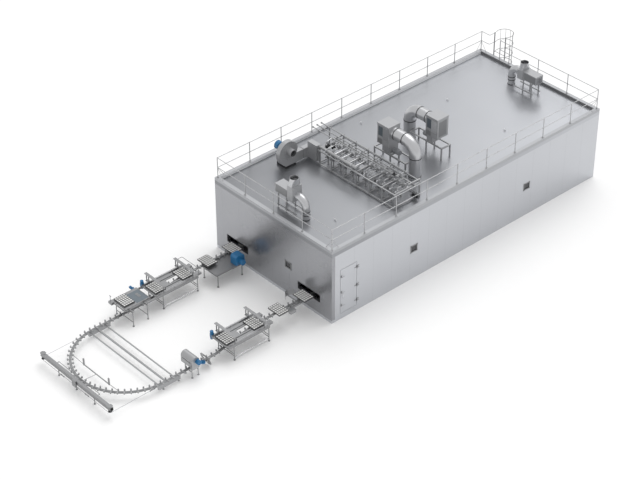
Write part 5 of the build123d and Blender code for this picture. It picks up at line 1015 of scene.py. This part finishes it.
def add_track_clips():
    """Clips under the curved track and the upper ends of the branches."""
    tree = PieceTree("track_clips", {"Width": 0.13})
    foot = tree.cube(tree["Width"], 0.03, 0.008)
    ear = tree.cube(0.008, 0.03, 0.05)
    ears = [tree.moved(ear, (offset, 0.0, 0.025)) for offset in (-0.059, 0.059)]
    tree.on_marks("bright_steel", foot, *ears)
    places = []
    for step in range(1, 18):
        angle = math.pi * step / 18
        outward = (-math.cos(angle), -math.sin(angle), 0.0)
        x, y = BRANCHES[1] * outward[0], TURN_CENTRE + BRANCHES[1] * outward[1]
        places.append(((x, y, TRACK_LOW - TRACK_DEPTH), Z_AXIS, outward))
    for branch in BRANCHES:
        for distance in (0.6, 1.2, 1.6, 2.4):
            places.append(((branch, FRONT - distance, TRACK_HIGH - TRACK_DEPTH),))
    tree.place("track_clips", places, slot="bright_steel")


def add_house_details():
    """Frames round the inspection panes, and the door's screws and pull."""
    tree = PieceTree("pane_frames", {"Bar": 0.05, "Proud": 0.012})
    bar, proud = tree["Bar"], tree["Proud"]
    bars = (tree.both(tree.cube(0.46, bar, proud), (0.0, 0.18, 0.0)),
            tree.both(tree.cube(bar, 0.41, proud), (0.205, 0.0, 0.0)))
    screws = tree.ring(tree.drum(6, 0.008, 0.006), 4, 0.275)
    screws = tree.moved(screws, (0.0, 0.0, 0.008), (0.0, 0.0, 0.72))
    tree.on_marks("bright_steel", *bars, screws)
    panes = [((1.115, FRONT - 0.005, 1.745), DOWN_Y, X_AXIS)]
    panes += [((SIDE_WALL + 0.005, FRONT + y, 1.745), X_AXIS, Y_AXIS) for y in (5.245, 13.035)]
    tree.place("pane_frames", panes, slot="bright_steel")

    tree = PieceTree("strap_screws", {"Head": 0.007, "Pitch": 0.045})
    step = tree.vector(tree["Pitch"], 0.0, 0.0)
    tree.on_marks("polished", tree.row(tree.drum(8, tree["Head"], 0.005), 2, MIDDLE, step))
    straps = [((DOOR_SCREW_X, STRAP_Y, height), X_AXIS, Y_AXIS) for height in STRAP_HEIGHTS]
    tree.place("strap_screws", straps, body="door")
    hinges = [((DOOR_SCREW_X, HINGE_Y, height + offset), X_AXIS, Y_AXIS)
              for height in STRAP_HEIGHTS for offset in (-0.05, 0.05)]
    tree.place("hinge_screws", hinges)

    low, high = PULL_HEIGHTS
    pull = [(SIDE_WALL, PULL_Y, low), (PULL_X, PULL_Y, low),
            (PULL_X, PULL_Y, high), (SIDE_WALL, PULL_Y, high)]
    tree = tube_tree("pull_bar", "polished")
    tree.route("door_pull", [pull], {"Radius": 0.011, "Bend": 0.03}, body="door")


# Stage

def lay_floor(scene, size):
    """A square white floor under the oven."""
    half = size / 2
    corners = [(x, y, FLOOR_LEVEL) for x, y in (
        (-half, -half), (half, -half), (half, half), (-half, half))]
    mesh = bpy.data.meshes.new("studio_floor")
    mesh.from_pydata(corners, [], [(0, 1, 2, 3)])
    mesh.materials.append(studio_floor("studio_floor"))
    floor = bpy.data.objects.new("studio_floor", mesh)
    scene.collection.objects.link(floor)


def set_lights(scene, settings):
    """An even white sky and one soft key light."""
    world = bpy.data.worlds.new("studio")
    world.use_nodes = True
    sky = Nodes(world.node_tree)
    white = (1.0, 1.0, 1.0, 1.0)
    background = sky.put("ShaderNodeBackground", Color=white, Strength=settings.sky_level)
    sky.put("ShaderNodeOutputWorld", Surface=background)
    scene.world = world

    sun = bpy.data.lights.new("key_light", "SUN")
    sun.energy = settings.sun_level
    sun.angle = settings.sun_spread
    lamp = bpy.data.objects.new("key_light", sun)
    lamp.rotation_euler = Vector(KEY_LIGHT_FROM).to_track_quat("Z", "Y").to_euler()
    scene.collection.objects.link(lamp)


def set_camera(scene):
    """The photograph's camera."""
    right, view = Vector(CAMERA_RIGHT), Vector(CAMERA_VIEW)
    turn = Matrix((right, right.cross(view), -view)).transposed().to_4x4()
    data = bpy.data.cameras.new("photo_camera")
    data.sensor_width = SENSOR_WIDTH
    data.lens = FOCAL_PIXELS / PHOTO_WIDTH * SENSOR_WIDTH
    data.clip_end = CAMERA_REACH
    camera = bpy.data.objects.new("photo_camera", data)
    camera.matrix_world = Matrix.Translation(CAMERA_PLACE) @ turn
    scene.collection.objects.link(camera)
    scene.camera = camera


# Settings

class OvenStageSettings(bpy.types.PropertyGroup):
    """Sizes and levels of the studio round the oven."""

    floor_size: FloatProperty(
        name="Floor size", description="Side of the square floor", default=400.0, unit="LENGTH")
    sky_level: FloatProperty(
        name="Sky level", description="Strength of the even light", default=0.78, min=0.0)
    sun_level: FloatProperty(
        name="Sun level", description="Strength of the soft key light", default=1.1, min=0.0)
    sun_spread: FloatProperty(
        name="Sun spread", description="Angle of the key light", default=0.9, subtype="ANGLE")


class OvenFinishSettings(bpy.types.PropertyGroup):
    """Colours of the steel and paint."""

    panel_colour: FloatVectorProperty(
        name="Panels", description="Wall panel steel", default=(0.6, 0.612, 0.64), subtype="COLOR")
    # Painted shade: the front wall's darker copy of the panel colour
    front_shaded_colour: FloatVectorProperty(
        name="Front", description="Front wall steel", default=(0.395, 0.4, 0.42), subtype="COLOR")
    roof_colour: FloatVectorProperty(
        name="Roof", description="Roof steel", default=(0.5, 0.512, 0.54), subtype="COLOR")
    steel_colour: FloatVectorProperty(
        name="Frames", description="Frame and table steel", default=(0.3, 0.303, 0.31),
        subtype="COLOR")
    duct_colour: FloatVectorProperty(
        name="Ducts", description="Duct steel", default=(0.58, 0.585, 0.6), subtype="COLOR")
    chain_colour: FloatVectorProperty(
        name="Chain", description="Oiled chain steel", default=(0.42, 0.424, 0.432),
        subtype="COLOR")
    pan_colour: FloatVectorProperty(
        name="Pans", description="Baking pan steel", default=(0.14, 0.141, 0.146), subtype="COLOR")
    bun_colour: FloatVectorProperty(
        name="Buns", description="Bun crust", default=(0.86, 0.86, 0.85), subtype="COLOR")
    motor_colour: FloatVectorProperty(
        name="Motors", description="Blue motor enamel", default=(0.019, 0.163, 0.365),
        subtype="COLOR")


class OvenFittingSettings(bpy.types.PropertyGroup):
    """Counts and sizes of what is repeated."""

    bun_columns: IntProperty(
        name="Bun columns", description="Buns across a pan", default=6, min=1)
    bun_rows: IntProperty(
        name="Bun rows", description="Buns along a pan", default=5, min=1)
    bun_radius: FloatProperty(
        name="Bun radius", description="Half a bun's width", default=0.053, unit="LENGTH")
    motor_ribs: IntProperty(
        name="Motor ribs", description="Cooling ribs round a motor", default=20, min=3)
    bolt_head: FloatProperty(
        name="Bolt head", description="Radius of a bolt head", default=0.011, unit="LENGTH")
    louvre_slats: IntProperty(
        name="Louvre slats", description="Slats in a louvre", default=7, min=2)
    pipe_radius: FloatProperty(
        name="Small pipe", description="Radius of a pilot pipe", default=0.014, unit="LENGTH")
    foot_plate: FloatProperty(
        name="Post foot", description="Side of a post's base plate", default=0.1, unit="LENGTH")
    link_pitch: FloatProperty(
        name="Link pitch", description="Length of a chain link", default=0.0967, unit="LENGTH")


# Operators

class OVEN_OT_finishes(bpy.types.Operator):
    """Give every solid its material"""

    bl_idname = "oven.finishes"
    bl_label = "Finish the solids"

    def execute(self, context):
        make_finishes(context.scene.oven_finish)
        finish_solids()
        return {"FINISHED"}


class OVEN_OT_buns(bpy.types.Operator):
    """Fill the pans with buns"""

    bl_idname = "oven.buns"
    bl_label = "Fill the pans"

    def execute(self, context):
        add_buns(context.scene.oven_fittings)
        return {"FINISHED"}


class OVEN_OT_motor_ribs(bpy.types.Operator):
    """Put ribs, cowls and terminal boxes on the motors"""

    bl_idname = "oven.motor_ribs"
    bl_label = "Rib the motors"

    def execute(self, context):
        add_motor_ribs(context.scene.oven_fittings)
        return {"FINISHED"}


class OVEN_OT_roof_fittings(bpy.types.Operator):
    """Add the bolts, louvres, panels, throats and smooth ducts of the roof's fans"""

    bl_idname = "oven.roof_fittings"
    bl_label = "Fit out the fans"

    def execute(self, context):
        add_bolts(context.scene.oven_fittings)
        add_fan_panels(context.scene.oven_fittings)
        add_casing_details()
        add_smooth_ducts()
        return {"FINISHED"}


class OVEN_OT_burner_fittings(bpy.types.Operator):
    """Add the small pipes, valves and regulators of the burners"""

    bl_idname = "oven.burner_fittings"
    bl_label = "Fit out the burners"

    def execute(self, context):
        add_burner_fittings(context.scene.oven_fittings)
        return {"FINISHED"}


class OVEN_OT_rail_feet(bpy.types.Operator):
    """Put a bolted foot under every rail post"""

    bl_idname = "oven.rail_feet"
    bl_label = "Foot the rail posts"

    def execute(self, context):
        add_rail_feet(context.scene.oven_fittings)
        return {"FINISHED"}


class OVEN_OT_stations(bpy.types.Operator):
    """Add belts, bars, rollers and plates to the stations"""

    bl_idname = "oven.stations"
    bl_label = "Fit out the stations"

    def execute(self, context):
        add_belts()
        add_bars()
        add_transfer_details()
        return {"FINISHED"}


class OVEN_OT_chain(bpy.types.Operator):
    """Add the chain's links and the fittings of the turn"""

    bl_idname = "oven.chain"
    bl_label = "Link the chain"

    def execute(self, context):
        add_chain_links(context.scene.oven_fittings)
        add_take_up_details()
        add_track_clips()
        return {"FINISHED"}


class OVEN_OT_house(bpy.types.Operator):
    """Add pane frames and the door's screws and pull"""

    bl_idname = "oven.house"
    bl_label = "Fit out the house"

    def execute(self, context):
        add_house_details()
        return {"FINISHED"}


class OVEN_OT_stage(bpy.types.Operator):
    """Lay the floor and set the lights and the camera"""

    bl_idname = "oven.stage"
    bl_label = "Set the stage"

    def execute(self, context):
        scene = context.scene
        scene.view_settings.view_transform = "Standard"
        lay_floor(scene, scene.oven_stage.floor_size)
        set_lights(scene, scene.oven_stage)
        set_camera(scene)
        return {"FINISHED"}


class OVEN_PT_panel(bpy.types.Panel):
    """The oven's steps in the sidebar"""

    bl_idname = "OVEN_PT_panel"
    bl_label = "Continuous oven"
    bl_space_type = "VIEW_3D"
    bl_region_type = "UI"
    bl_category = "Oven"

    def draw(self, context):
        for step in STEPS:
            self.layout.operator(step.bl_idname)


# The operators in the order in which main() calls them
STEPS = (
    OVEN_OT_finishes,
    OVEN_OT_buns,
    OVEN_OT_motor_ribs,
    OVEN_OT_roof_fittings,
    OVEN_OT_burner_fittings,
    OVEN_OT_rail_feet,
    OVEN_OT_stations,
    OVEN_OT_chain,
    OVEN_OT_house,
    OVEN_OT_stage,
)
CLASSES = (OvenStageSettings, OvenFinishSettings, OvenFittingSettings, *STEPS, OVEN_PT_panel)


def register():
    """Adds the classes and their settings."""
    for kind in CLASSES:
        bpy.utils.register_class(kind)
    bpy.types.Scene.oven_stage = PointerProperty(type=OvenStageSettings)
    bpy.types.Scene.oven_finish = PointerProperty(type=OvenFinishSettings)
    bpy.types.Scene.oven_fittings = PointerProperty(type=OvenFittingSettings)


def unregister():
    """Takes the settings and classes away again."""
    del bpy.types.Scene.oven_fittings
    del bpy.types.Scene.oven_finish
    del bpy.types.Scene.oven_stage
    for kind in reversed(CLASSES):
        bpy.utils.unregister_class(kind)


def main():
    """Registers the add-on and runs its steps in order."""
    register()
    bpy.ops.oven.finishes()
    bpy.ops.oven.buns()
    bpy.ops.oven.motor_ribs()
    bpy.ops.oven.roof_fittings()
    bpy.ops.oven.burner_fittings()
    bpy.ops.oven.rail_feet()
    bpy.ops.oven.stations()
    bpy.ops.oven.chain()
    bpy.ops.oven.house()
    bpy.ops.oven.stage()
    bpy.context.view_layer.update()


if __name__ == "__main__":
    main()
